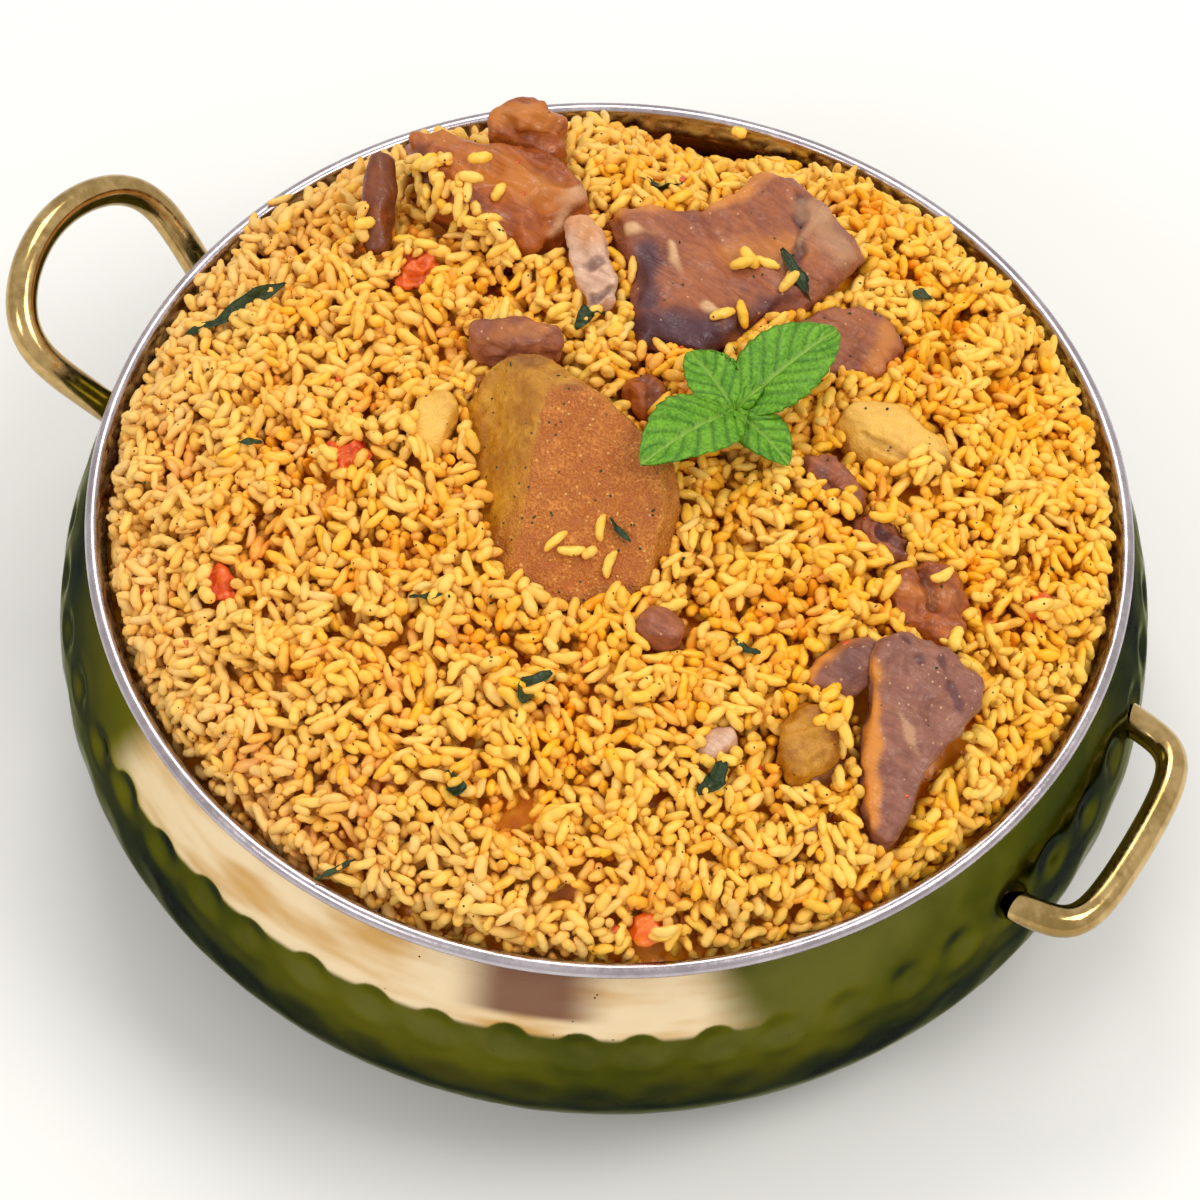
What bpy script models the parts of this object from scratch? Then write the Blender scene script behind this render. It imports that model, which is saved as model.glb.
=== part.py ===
"""Biryani in its serving pot: a hammered brass bowl with a steel liner and two rod handles,
a heap of rice, and the meat, potato, tomato and mint that lie in and on the rice.

Metres, +Z up.  The origin is the centre of the flat base, and the handles lie along X.
Corner lists of the food are in millimetres, with z measured from the base.
"""
import math

import bmesh
import bpy
from mathutils import Vector, noise

MM = 0.001
GAP = 0.3 * MM              # clearance between pieces that touch

# Bowl
BASE_RADIUS = 60 * MM       # flat part that it stands on
BELLY_RADIUS = 106.5 * MM   # widest place
BELLY_HEIGHT = 39 * MM
NECK_RADIUS = 98 * MM       # outside of the brass, just under the rim
NECK_HEIGHT = 70.3 * MM
WALL = 1.0 * MM             # brass and steel alike
RIM_HEIGHT = 72.5 * MM      # centre of the rolled steel bead
RIM_RADIUS = 98.55 * MM
BEAD_RADIUS = 1.45 * MM
TURN_STEPS = 36
BELLY_STEPS = 5
SHOULDER_STEPS = 3
BEAD_STEPS = 4

# Handles
ROD_RADIUS = 3.1 * MM
ROD_SIDES = 10
CORNER_SMOOTHING = 3        # passes that round the corners of the bent rod

# Rice
HEAP_EDGE_DEPTH = 4.5 * MM  # how far the rice stays under the rim at the wall
HEAP_RISE = 26 * MM         # from its edge to its top
HEAP_FULLNESS = 3.0         # higher is flatter on top and steeper near the wall
HEAP_SHARPNESS = 0.85
HEAP_RINGS = 12
HEAP_LUMP = 2.6 * MM
HEAP_LUMP_SIZE = 17 * MM
# mounds and hollows of the heap: centre x and y, reach, and height or depth, in mm
HEAP_SWELLS = [(-15, 62, 26, 4), (-27, 91, 14, -14), (52, 40, 20, -2), (-62, -20, 22, 2)]

HEAP_RING_SPREAD = 0.9      # under 1 puts the rings closer together near the wall

# Food
NOISE_SEED = 7              # fixes the unevenness of the food, the same every time
CUT_MARGIN = 0.45 * MM      # a cutter stands this far out of the piece that it stands for
CORNER_CUT = 0.22           # share of an outline's side that each rounding pass takes off
SLAB_GRAIN = 4 * MM         # size of the unevenness of slices, of round bits and of the potato
LUMP_GRAIN = 3 * MM
POTATO_GRAIN = 6 * MM

COLOURS = {
    "brass": ((0.62, 0.44, 0.15), 0.25, 1.0),
    "steel": ((0.60, 0.58, 0.62), 0.25, 1.0),
    "rice": ((0.85, 0.58, 0.18), 0.60, 0.0),
    "meat": ((0.25, 0.10, 0.07), 0.45, 0.0),
    "fried_meat": ((0.55, 0.22, 0.07), 0.45, 0.0),
    "gristle": ((0.72, 0.55, 0.42), 0.40, 0.0),
    "potato": ((0.75, 0.50, 0.14), 0.45, 0.0),
    "tomato": ((0.75, 0.12, 0.03), 0.35, 0.0),
    "mint": ((0.10, 0.38, 0.06), 0.50, 0.0),
}


def clear_scene():
    """Remove every object, so that the model starts from an empty scene."""
    for item in list(bpy.data.objects):
        bpy.data.objects.remove(item, do_unlink=True)


def material(name):
    """Return the Principled material of that name, made once."""
    found = bpy.data.materials.get(name)
    if found:
        return found
    colour, roughness, metallic = COLOURS[name]
    made = bpy.data.materials.new(name)
    made.use_nodes = True
    shader = made.node_tree.nodes["Principled BSDF"]
    shader.inputs["Base Color"].default_value = (*colour, 1.0)
    shader.inputs["Roughness"].default_value = roughness
    shader.inputs["Metallic"].default_value = metallic
    return made


def add_mesh(name, points, faces, finish):
    """Make an object from points in metres and faces that look outwards."""
    mesh = bpy.data.meshes.new(name)
    mesh.from_pydata([tuple(point) for point in points], [], faces)
    mesh.validate()
    mesh.materials.append(material(finish))
    mesh.shade_smooth()
    mesh.set_sharp_from_angle(angle=math.radians(50))
    made = bpy.data.objects.new(name, mesh)
    bpy.context.collection.objects.link(made)
    return made


# ---------------------------------------------------------------- the bowl

def wall_curve(inset):
    """Side of the bowl from the base's edge to the neck, as (radius, height) pairs.

    inset moves the curve inwards, square to the outer surface.
    """
    swell = BELLY_RADIUS - BASE_RADIUS
    taper = BELLY_RADIUS - NECK_RADIUS
    shoulder = NECK_HEIGHT - BELLY_HEIGHT
    curve = []
    for step in range(BELLY_STEPS + 1):
        turn = math.radians(90) * step / BELLY_STEPS
        radius = BASE_RADIUS + swell * math.sin(turn)
        height = BELLY_HEIGHT * (1 - math.cos(turn))
        out = Vector((math.sin(turn) / swell, -math.cos(turn) / BELLY_HEIGHT)).normalized()
        curve.append((radius - inset * out.x, height - inset * out.y))
    for step in range(1, SHOULDER_STEPS + 1):
        rise = step / SHOULDER_STEPS
        radius = BELLY_RADIUS - taper * rise ** 2
        out = Vector((shoulder, 2 * taper * rise)).normalized()
        curve.append((radius - inset * out.x, BELLY_HEIGHT + shoulder * rise - inset * out.y))
    return curve


def turned(name, profile, finish):
    """Turn a profile about Z.  It starts on the axis, runs up the outside and back in."""
    points, rings = [], []
    for radius, height in profile:
        if radius == 0:
            rings.append([len(points)] * TURN_STEPS)
            points.append((0, 0, height))
            continue
        rings.append(list(range(len(points), len(points) + TURN_STEPS)))
        for step in range(TURN_STEPS):
            turn = math.tau * step / TURN_STEPS
            points.append((radius * math.cos(turn), radius * math.sin(turn), height))
    faces = []
    for low, high in zip(rings, rings[1:]):
        for step in range(TURN_STEPS):
            after = (step + 1) % TURN_STEPS
            corners = [low[step], low[after], high[after], high[step]]
            faces.append(tuple(dict.fromkeys(corners)))
    return add_mesh(name, points, faces, finish)


def brass_shell():
    """Outer bowl, open at the top, with a flat base."""
    outside = wall_curve(0)
    inside = wall_curve(WALL)
    profile = [(0, 0)] + outside + inside[::-1] + [(0, WALL)]
    return turned("brass_shell", profile, "brass")


def steel_liner():
    """Inner bowl that nests in the brass, with its rim rolled outwards over the edge."""
    outside = wall_curve(WALL + GAP)
    inside = wall_curve(2 * WALL + GAP)
    bead = []
    for step in range(BEAD_STEPS + 1):
        turn = math.radians(-130 + 300 * step / BEAD_STEPS)
        bead.append((RIM_RADIUS + BEAD_RADIUS * math.cos(turn),
                     RIM_HEIGHT + BEAD_RADIUS * math.sin(turn)))
    profile = [(0, WALL + GAP)] + outside + bead + inside[::-1] + [(0, 2 * WALL + GAP)]
    return turned("steel_liner", profile, "steel")


def pot_envelope():
    """Solid that fills the outside of the bowl and its clearance, for cutting the rods."""
    outside = wall_curve(-GAP)
    return turned("pot_envelope", [(0, -GAP)] + outside + [(0, NECK_HEIGHT)], "brass")


def bent_rod(start, foot_spread, reach, bow, spread, tilt, side):
    """Centre line of a handle: two legs out of the wall and a bowed bar across them.

    start is (radius, height) where the legs enter the wall, foot_spread and spread are half
    the distance between the legs there and at the bar, reach is how far the bar stands out,
    bow how far its middle runs past its ends, tilt its rise from level, side +1 or -1 in X.
    """
    leg_steps, bar_steps = 5, 9
    flat = []
    for step in range(leg_steps):
        part = step / leg_steps
        flat.append(Vector(((reach - bow) * part, foot_spread + (spread - foot_spread) * part)))
    for step in range(bar_steps):
        along = 1 - 2 * step / (bar_steps - 1)
        flat.append(Vector((reach - bow * along ** 2, spread * along)))
    flat += [Vector((point.x, -point.y)) for point in flat[leg_steps - 1::-1]]
    for _ in range(CORNER_SMOOTHING):
        inner = [(a + 2 * b + c) / 4 for a, b, c in zip(flat, flat[1:], flat[2:])]
        flat = [flat[0]] + inner + [flat[-1]]
    line = []
    for point in flat:
        line.append(Vector((side * (start[0] + point.x * math.cos(tilt)), side * point.y,
                            start[1] + point.x * math.sin(tilt))))
    return line


def handle(name, envelope, **bend):
    """Round rod along its bent centre line, with its feet cut to the curve of the wall."""
    line = bent_rod(**bend)
    plane = (line[len(line) // 2] - line[0]).cross(line[-1] - line[0]).normalized()
    points, faces = [], []
    for at, centre in enumerate(line):
        ahead = line[min(at + 1, len(line) - 1)] - line[max(at - 1, 0)]
        across = plane.cross(ahead).normalized()
        for side in range(ROD_SIDES):
            turn = math.tau * side / ROD_SIDES
            points.append(centre + ROD_RADIUS * (across * math.cos(turn) + plane * math.sin(turn)))
    for ring in range(len(line) - 1):
        for side in range(ROD_SIDES):
            after = (side + 1) % ROD_SIDES
            low, high = ring * ROD_SIDES, (ring + 1) * ROD_SIDES
            faces.append((low + side, high + side, high + after, low + after))
    faces.append(tuple(range(ROD_SIDES)))
    last = (len(line) - 1) * ROD_SIDES
    faces.append(tuple(last + side for side in reversed(range(ROD_SIDES))))
    rod = add_mesh(name, points, faces, "brass")
    face_outwards(rod)
    carve(rod, envelope)
    return rod


# ---------------------------------------------------------------- shaping the food

def face_outwards(item):
    """Turn every face of a closed mesh to look outwards."""
    shape = bmesh.new()
    shape.from_mesh(item.data)
    bmesh.ops.recalc_face_normals(shape, faces=shape.faces)
    if shape.calc_volume(signed=True) < 0:
        bmesh.ops.reverse_faces(shape, faces=shape.faces)
    shape.to_mesh(item.data)
    shape.free()


def carve(item, cutter):
    """Cut the cutter's shape out of item."""
    cut = item.modifiers.new("cut_" + cutter.name, "BOOLEAN")
    cut.operation = "DIFFERENCE"
    cut.solver = "EXACT"
    cut.object = cutter
    cutter.hide_render = True
    cutter.display_type = "WIRE"


def cutter_for(item):
    """Copy of a piece before it is cut, grown by the cut's margin along its normals."""
    bpy.context.view_layer.update()
    seen = item.evaluated_get(bpy.context.evaluated_depsgraph_get())
    mesh = bpy.data.meshes.new_from_object(seen)
    normals = [corner.vector.copy() for corner in mesh.vertex_normals]
    for point, normal in zip(mesh.vertices, normals):
        point.co = point.co + normal * CUT_MARGIN
    grown = bpy.data.objects.new("around_" + item.name, mesh)
    bpy.context.collection.objects.link(grown)
    grown.hide_render = True
    grown.display_type = "WIRE"
    return grown


def keep_largest(item):
    """Apply the cuts of a piece and drop the crumbs that they leave, all but its main body."""
    bpy.context.view_layer.update()
    seen = item.evaluated_get(bpy.context.evaluated_depsgraph_get())
    mesh = bpy.data.meshes.new_from_object(seen)
    item.modifiers.clear()
    item.data = mesh
    shape = bmesh.new()
    shape.from_mesh(mesh)
    bodies, unseen = [], set(shape.verts)
    while unseen:
        body, edge = set(), [unseen.pop()]
        while edge:
            vertex = edge.pop()
            body.add(vertex)
            for link in vertex.link_edges:
                other = link.other_vert(vertex)
                if other in unseen:
                    unseen.remove(other)
                    edge.append(other)
        bodies.append(body)
    main = max(bodies, key=len)
    crumbs = [vertex for vertex in shape.verts if vertex not in main]
    bmesh.ops.delete(shape, geom=crumbs, context="VERTS")
    shape.to_mesh(mesh)
    shape.free()


def near(first, second):
    """True if the boxes of two pieces meet."""
    ends = []
    for item in (first, second):
        corners = [vertex.co for vertex in item.data.vertices]
        ends.append([(min(c[axis] for c in corners), max(c[axis] for c in corners))
                     for axis in range(3)])
    return all(a[0] < b[1] + GAP and b[0] < a[1] + GAP for a, b in zip(*ends))


def rounded(corners, passes):
    """Cut the corners of a closed outline, each pass doubling its points."""
    outline = [Vector(corner) * MM for corner in corners]
    for _ in range(passes):
        cut = []
        for here, after in zip(outline, outline[1:] + outline[:1]):
            cut += [here.lerp(after, CORNER_CUT), here.lerp(after, 1 - CORNER_CUT)]
        outline = cut
    return outline


def uneven(point, amount, grain):
    """Push a point about by smooth noise of that amount and grain size."""
    return point + noise.noise_vector(point / grain) * amount


def loft(name, loops, finish):
    """Skin closed loops of equal length, first to last, and close both ends to a point."""
    count = len(loops[0])
    points = [sum(loops[0], Vector()) / count]
    for loop in loops:
        points += loop
    points.append(sum(loops[-1], Vector()) / count)
    faces = []
    for step in range(count):
        after = (step + 1) % count
        faces.append((0, 1 + step, 1 + after))
        for ring in range(len(loops) - 1):
            low, high = 1 + ring * count, 1 + (ring + 1) * count
            faces.append((low + step, high + step, high + after, low + after))
        end = 1 + (len(loops) - 1) * count
        faces.append((end + step, len(points) - 1, end + after))
    made = add_mesh(name, points, faces, finish)
    face_outwards(made)
    return made


def slab(name, corners, thick, finish, crown=1.0, passes=1, rough=0.5):
    """Cooked slice: an outline on its top side, a crowned top and a narrower underside.

    corners are (x, y, z) in mm in order round the top; thick, crown and rough are in mm.
    """
    edge = rounded(corners, passes)
    middle = sum(edge, Vector()) / len(edge)
    square = Vector()
    for here, after in zip(edge, edge[1:] + edge[:1]):
        square += (here - middle).cross(after - middle)
    square.normalize()
    if square.z < 0:
        square.negate()
    # scale from the middle, and height over the top edge as a share of crown or thickness
    profile = [(0.55, crown), (0.90, crown * 0.45), (1.0, -0.30 * thick),
               (0.90, -0.80 * thick), (0.50, -thick)]
    loops = []
    for scale, height in profile:
        loops.append([uneven(middle + (point - middle) * scale + square * height * MM,
                             rough * MM, SLAB_GRAIN) for point in edge])
    return loft(name, loops, finish)


def lump(name, centre, size, turn, tilt, finish, sides=8, rough=0.8):
    """Rounded bit: an uneven ellipsoid.  centre and size in mm, turn and tilt in degrees."""
    rings = sides // 2
    yaw, pitch = math.radians(turn), math.radians(tilt)
    along = Vector((math.cos(yaw) * math.cos(pitch), math.sin(yaw) * math.cos(pitch),
                    math.sin(pitch)))
    across = Vector((-math.sin(yaw), math.cos(yaw), 0))
    upward = along.cross(across)
    loops = []
    for ring in range(1, rings + 1):
        lean = math.pi * ring / (rings + 1)
        loop = []
        for side in range(sides):
            turn_here = math.tau * side / sides
            point = (along * math.cos(lean) * size[0] / 2
                     + across * math.sin(lean) * math.cos(turn_here) * size[1] / 2
                     + upward * math.sin(lean) * math.sin(turn_here) * size[2] / 2) * MM
            loop.append(uneven(Vector(centre) * MM + point, rough * MM, LUMP_GRAIN))
        loops.append(loop)
    return loft(name, loops, finish)


# ---------------------------------------------------------------- the food

def potato_large():
    """Biggest piece: a fried, browned face that leans to the front over yellow flanks."""
    crust = [(-13, -1, 108), (-4, 3, 108), (7, 1, 106), (18, -12, 99), (20, -24, 94),
             (11, -31, 92.5), (-4, -33, 93), (-9, -26, 96), (-12, -15, 102)]
    flank = [(-32, -2, 102), (-18, 8, 103), (8, 5, 100), (20.5, -11, 96), (21, -25, 91.5),
             (11, -32.5, 90), (-7, -36, 90), (-14, -28, 92), (-24, -15, 95)]
    foot = [(-28, -3, 84), (-12, 5, 83), (6, 1, 82), (17, -11, 81), (18, -23, 80),
            (9, -29, 80), (-7, -32, 80), (-13, -25, 82), (-22, -13, 84)]
    loops = [rounded(outline, 1) for outline in (crust, flank, foot)]
    middle = sum(loops[0], Vector()) / len(loops[0])
    crown = Vector((-0.3, -0.45, 0.84)) * MM
    top = [middle + (point - middle) * 0.6 + crown for point in loops[0]]
    waist = [high.lerp(low, 0.55) for high, low in zip(loops[1], loops[2])]
    shaped = [top, loops[0], loops[1], waist, loops[2]]
    return loft("potato_large",
                [[uneven(point, 0.5 * MM, POTATO_GRAIN) for point in loop] for loop in shaped],
                "potato")


def slices():
    """Meat and potato cut into slabs, each given by the outline of its upper side."""
    return [
        slab("meat_rear_left",
             [(-73, 43, 98), (-65, 46, 98), (-55, 48, 97), (-46, 53, 98), (-37, 52, 96),
              (-32, 45, 95), (-34, 34, 94), (-41, 28, 94), (-52, 29, 95), (-65, 36, 97)],
             14, "fried_meat", crown=1.5, rough=0.9),
        slab("meat_rear_right",
             [(-30, 47, 97), (-15, 55, 96), (-10, 63, 96), (-5, 75, 95), (4, 73, 95),
              (17, 67, 94), (18, 60, 94), (12, 47, 95), (4, 29, 96), (-6, 22, 97),
              (-12, 27, 97), (-15, 36, 97), (-23, 42, 97)],
             10, "meat", crown=0.8, rough=0.7),
        slab("meat_rear_under",
             [(13, 42, 94), (19, 53, 92.5), (29, 57, 91), (35, 51, 90), (34, 43, 90),
              (28, 38, 91), (17, 36, 93)],
             8, "meat", crown=1.0),
        slab("meat_lower_right",
             [(62, -14, 97), (66, -8, 96), (73, -6, 94), (85, -7, 89), (81, -24, 86),
              (82, -32, 83), (81.5, -42, 77), (76, -40, 80), (71, -33, 85), (67, -23, 90)],
             7, "meat", crown=0.6),
        slab("potato_wedge",
             [(31, 28, 97), (34, 34, 96), (45, 39, 94), (51, 37, 92), (55, 33, 90),
              (53, 28, 90), (45, 25, 92), (35, 25, 95)],
             10, "potato", crown=0.8),
        slab("potato_side",
             [(-38, -11, 97), (-33, -6, 98), (-29, -9, 98), (-28, -20, 95), (-33, -20, 95)],
             8, "potato", crown=0.6),
        slab("meat_strip_upper",
             [(31, 18, 94), (34, 20, 94), (44, 17, 92), (45, 13.5, 91.5), (40, 13, 92.5),
              (34, 15, 93.5)],
             6, "meat", crown=0.5),
        slab("meat_strip_lower",
             [(46, 12, 92), (48, 15, 91.5), (55, 13, 90), (57, 9.5, 89.5), (52, 7.5, 90),
              (46.5, 9, 91.5)],
             6, "meat", crown=0.5),
        slab("meat_skin",
             [(57, 3, 90.5), (59, 10, 90.5), (64, 13, 89), (70, 8, 87.5), (73, 0, 86),
              (68, -3, 87), (61, -3, 89)],
             6, "fried_meat", crown=1.2),
        slab("fat_piece",
             [(58, -40, 87), (55, -35, 89), (56, -29, 91), (60, -27, 91), (65, -29, 89),
              (65, -36, 87), (62, -41, 86)],
             8, "potato", crown=1.5),
    ]


def bits():
    """Rounded pieces: gristle, lobes and shreds of meat, and pieces of tomato."""
    return [
        lump("bone_end", (-24.5, 33.5, 97), (24, 8, 8), -46, -7, "gristle"),
        lump("meat_rear_knob", (-52, 56.5, 94), (17, 12, 16), 30, 0, "fried_meat"),
        lump("meat_rear_strip", (-69, 28.5, 90.5), (24, 6, 9), 119, 18, "fried_meat"),
        lump("meat_dome", (-27, 9, 98), (20, 9, 13), 30, 0, "meat"),
        lump("meat_lower_lobe", (59, -18, 90), (17, 10, 9), 62, 10, "meat"),
        lump("meat_under_potato", (26, -29, 91.5), (10, 8, 8), 20, 0, "meat"),
        lump("meat_middle_bits", (-1, 13.5, 94.5), (10, 8, 7), -40, 0, "fried_meat"),
        lump("meat_sliver", (46, -43, 87.5), (9, 5, 6), 60, 10, "gristle"),
        lump("tomato_left", (-42.5, -26, 91), (10, 9, 6), 20, 0, "tomato"),
        lump("tomato_low_left", (-50.5, -58, 83.5), (9, 7, 5), 10, 0, "tomato"),
        lump("tomato_right", (81, 18, 79.5), (8, 6, 6), 40, 20, "tomato"),
        lump("tomato_rear", (-55, 20, 89.5), (11, 7, 6), 50, 0, "tomato"),
        lump("carrot_front", (51, -76, 75), (8, 7, 6), 20, 10, "tomato"),
    ]


def mint_leaf(name, base, tip, width, lift):
    """Pointed oval leaf from base to tip (mm), folded a little along its midrib."""
    base, tip = Vector(base) * MM, Vector(tip) * MM
    along = tip - base
    across = Vector((-along.y, along.x, 0)).normalized()
    upward = along.cross(across).normalized()
    if upward.z < 0:
        upward.negate()
    steps, thick = 6, 0.7 * MM
    loops = []
    for step in range(steps + 1):
        part = 0.04 + 0.92 * step / steps
        half = width * MM / 2 * math.sin(math.pi * part ** 0.85) ** 0.75
        rise = lift * MM * math.sin(math.pi * part)
        centre = base + along * part + upward * rise
        fold = upward * half * 0.25
        loops.append([centre + upward * thick / 2, centre - across * half + fold,
                      centre - upward * thick / 2, centre + across * half + fold])
    return loft(name, loops, "mint")


def mint_sprig():
    """Four leaves on one bud, joined into a single piece."""
    bud_place = (17, 15, 100.5)
    sprig = lump("mint_sprig", bud_place, (5, 4, 4), 0, 0, "mint", rough=0.2)
    # tip of each leaf, its width and how far it arches, in mm
    leaves = [((25, 40, 103), 13, 1.5), ((3, 21.5, 102), 9, 1.2),
              ((10.5, -11, 108), 12, 2.0), ((30.5, 11.5, 98), 8, 0.8)]
    for number, (tip, width, lift) in enumerate(leaves):
        leaf = mint_leaf(f"leaf_{number}", bud_place, tip, width, lift)
        join = sprig.modifiers.new(f"join_{number}", "BOOLEAN")
        join.operation = "UNION"
        join.solver = "EXACT"
        join.object = leaf
        leaf.hide_render = True
        leaf.display_type = "WIRE"
    return sprig


# ---------------------------------------------------------------- the rice

def heap_height(x, y):
    """Height of the rice over the base at a place in plan."""
    out = min(math.hypot(x, y) / RIM_RADIUS, 1.0)
    dome = HEAP_RISE * (1 - out ** HEAP_FULLNESS) ** HEAP_SHARPNESS
    lumps = noise.noise(Vector((x, y, 0)) / HEAP_LUMP_SIZE) * HEAP_LUMP * (1 - out ** 6)
    swells = 0.0
    for centre_x, centre_y, reach, height in HEAP_SWELLS:
        away = math.hypot(x / MM - centre_x, y / MM - centre_y) / reach
        swells += height * MM * math.exp(-away ** 2)
    return RIM_HEIGHT - HEAP_EDGE_DEPTH + dome + lumps + swells


def rice():
    """Heap of rice as one solid: it fills the liner, and its top is uneven."""
    side = wall_curve(2 * WALL + 2 * GAP)
    floor = 2 * WALL + 2 * GAP
    points, rings = [(0, 0, floor)], []

    def add_ring(place):
        """Add a ring of points, where place gives (radius, height) at an angle."""
        rings.append(list(range(len(points), len(points) + TURN_STEPS)))
        for step in range(TURN_STEPS):
            turn = math.tau * step / TURN_STEPS
            radius, height = place(turn)
            points.append((radius * math.cos(turn), radius * math.sin(turn), height))

    def wall_radius(height):
        """Radius of the rice against the liner at that height."""
        for (low_r, low_z), (high_r, high_z) in zip(side, side[1:]):
            if height <= high_z:
                break
        return low_r + (high_r - low_r) * (height - low_z) / (high_z - low_z)

    def top_edge(turn):
        """Where the top meets the liner."""
        reach = side[-1][0]
        height = heap_height(reach * math.cos(turn), reach * math.sin(turn))
        return wall_radius(height), height

    edge_low = min(top_edge(math.tau * step / TURN_STEPS)[1] for step in range(TURN_STEPS))
    for radius, height in side:
        if height < edge_low - 1 * MM:
            add_ring(lambda turn, at=(radius, height): at)
    add_ring(top_edge)
    for ring in range(HEAP_RINGS - 1, 0, -1):
        radius = side[-1][0] * (ring / HEAP_RINGS) ** HEAP_RING_SPREAD
        add_ring(lambda turn, at=radius: (at, heap_height(at * math.cos(turn), at * math.sin(turn))))
    points.append((0, 0, heap_height(0, 0)))
    faces = []
    for step in range(TURN_STEPS):
        after = (step + 1) % TURN_STEPS
        faces.append((0, rings[0][after], rings[0][step]))
        for low, high in zip(rings, rings[1:]):
            faces.append((low[step], low[after], high[after], high[step]))
        faces.append((rings[-1][step], rings[-1][after], len(points) - 1))
    return add_mesh("rice", points, faces, "rice")


# ---------------------------------------------------------------- the whole

def build():
    """Build the bowl, then the food on it, and cut each later piece round the earlier ones."""
    clear_scene()
    noise.seed_set(NOISE_SEED)
    brass_shell()
    steel_liner()
    envelope = pot_envelope()
    handle("handle_right", envelope, start=(97.5 * MM, 51.1 * MM), foot_spread=24.4 * MM,
           reach=18.3 * MM, bow=1.3 * MM, spread=22.5 * MM, tilt=math.radians(-5), side=1)
    handle("handle_left", envelope, start=(100 * MM, 50.6 * MM), foot_spread=17.2 * MM,
           reach=38.7 * MM, bow=10.4 * MM, spread=23.5 * MM, tilt=math.radians(42), side=-1)

    food = [potato_large()] + slices() + bits() + [mint_sprig()]
    cutters = []
    for piece in food:
        grown = cutter_for(piece)
        for other, cutter in cutters:
            if near(piece, other):
                carve(piece, cutter)
        cutters.append((piece, grown))
    heap = rice()
    for _, cutter in cutters:
        if near(heap, cutter):
            carve(heap, cutter)
    keep_largest(heap)


build()
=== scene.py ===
"""Looks of a biryani in its serving pot: hammered brass, steel liner, rice, meat and herbs.

Metres, +Z up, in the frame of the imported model.  Lengths in the classes are in metres, made
from millimetres with MM, and lists of places on the food are in millimetres.
"""
import logging
import math
from dataclasses import dataclass, field
from enum import Enum

import bmesh
import bpy
import numpy as np
from mathutils import Matrix, Vector, noise
from mathutils.bvhtree import BVHTree


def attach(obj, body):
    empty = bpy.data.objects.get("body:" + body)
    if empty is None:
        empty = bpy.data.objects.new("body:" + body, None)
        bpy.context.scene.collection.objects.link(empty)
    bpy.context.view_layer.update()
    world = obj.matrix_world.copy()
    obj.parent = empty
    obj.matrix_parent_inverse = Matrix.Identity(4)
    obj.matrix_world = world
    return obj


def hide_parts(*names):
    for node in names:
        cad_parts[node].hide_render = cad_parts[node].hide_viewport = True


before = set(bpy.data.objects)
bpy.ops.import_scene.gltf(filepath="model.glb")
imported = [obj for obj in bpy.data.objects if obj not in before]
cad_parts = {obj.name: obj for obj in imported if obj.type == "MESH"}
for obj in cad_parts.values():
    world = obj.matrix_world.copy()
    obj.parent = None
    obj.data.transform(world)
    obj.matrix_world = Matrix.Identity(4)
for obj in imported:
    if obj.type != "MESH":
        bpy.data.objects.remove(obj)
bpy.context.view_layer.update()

MM = 0.001
LOG = logging.getLogger("biryani")
FINE_MOTTLE = 6.0           # how many times finer the second noise of the patches is

Colour = tuple[float, float, float]
Place = tuple[float, float, float]


class Slot(Enum):
    """Material slots."""
    BRASS = "brass"
    STEEL = "steel"
    RICE = "rice"
    MEAT = "meat"
    FRIED_MEAT = "fried_meat"
    GRISTLE = "gristle"
    POTATO = "potato"
    TOMATO = "tomato"
    MINT = "mint"


# ---------------------------------------------------------------- node trees

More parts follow.
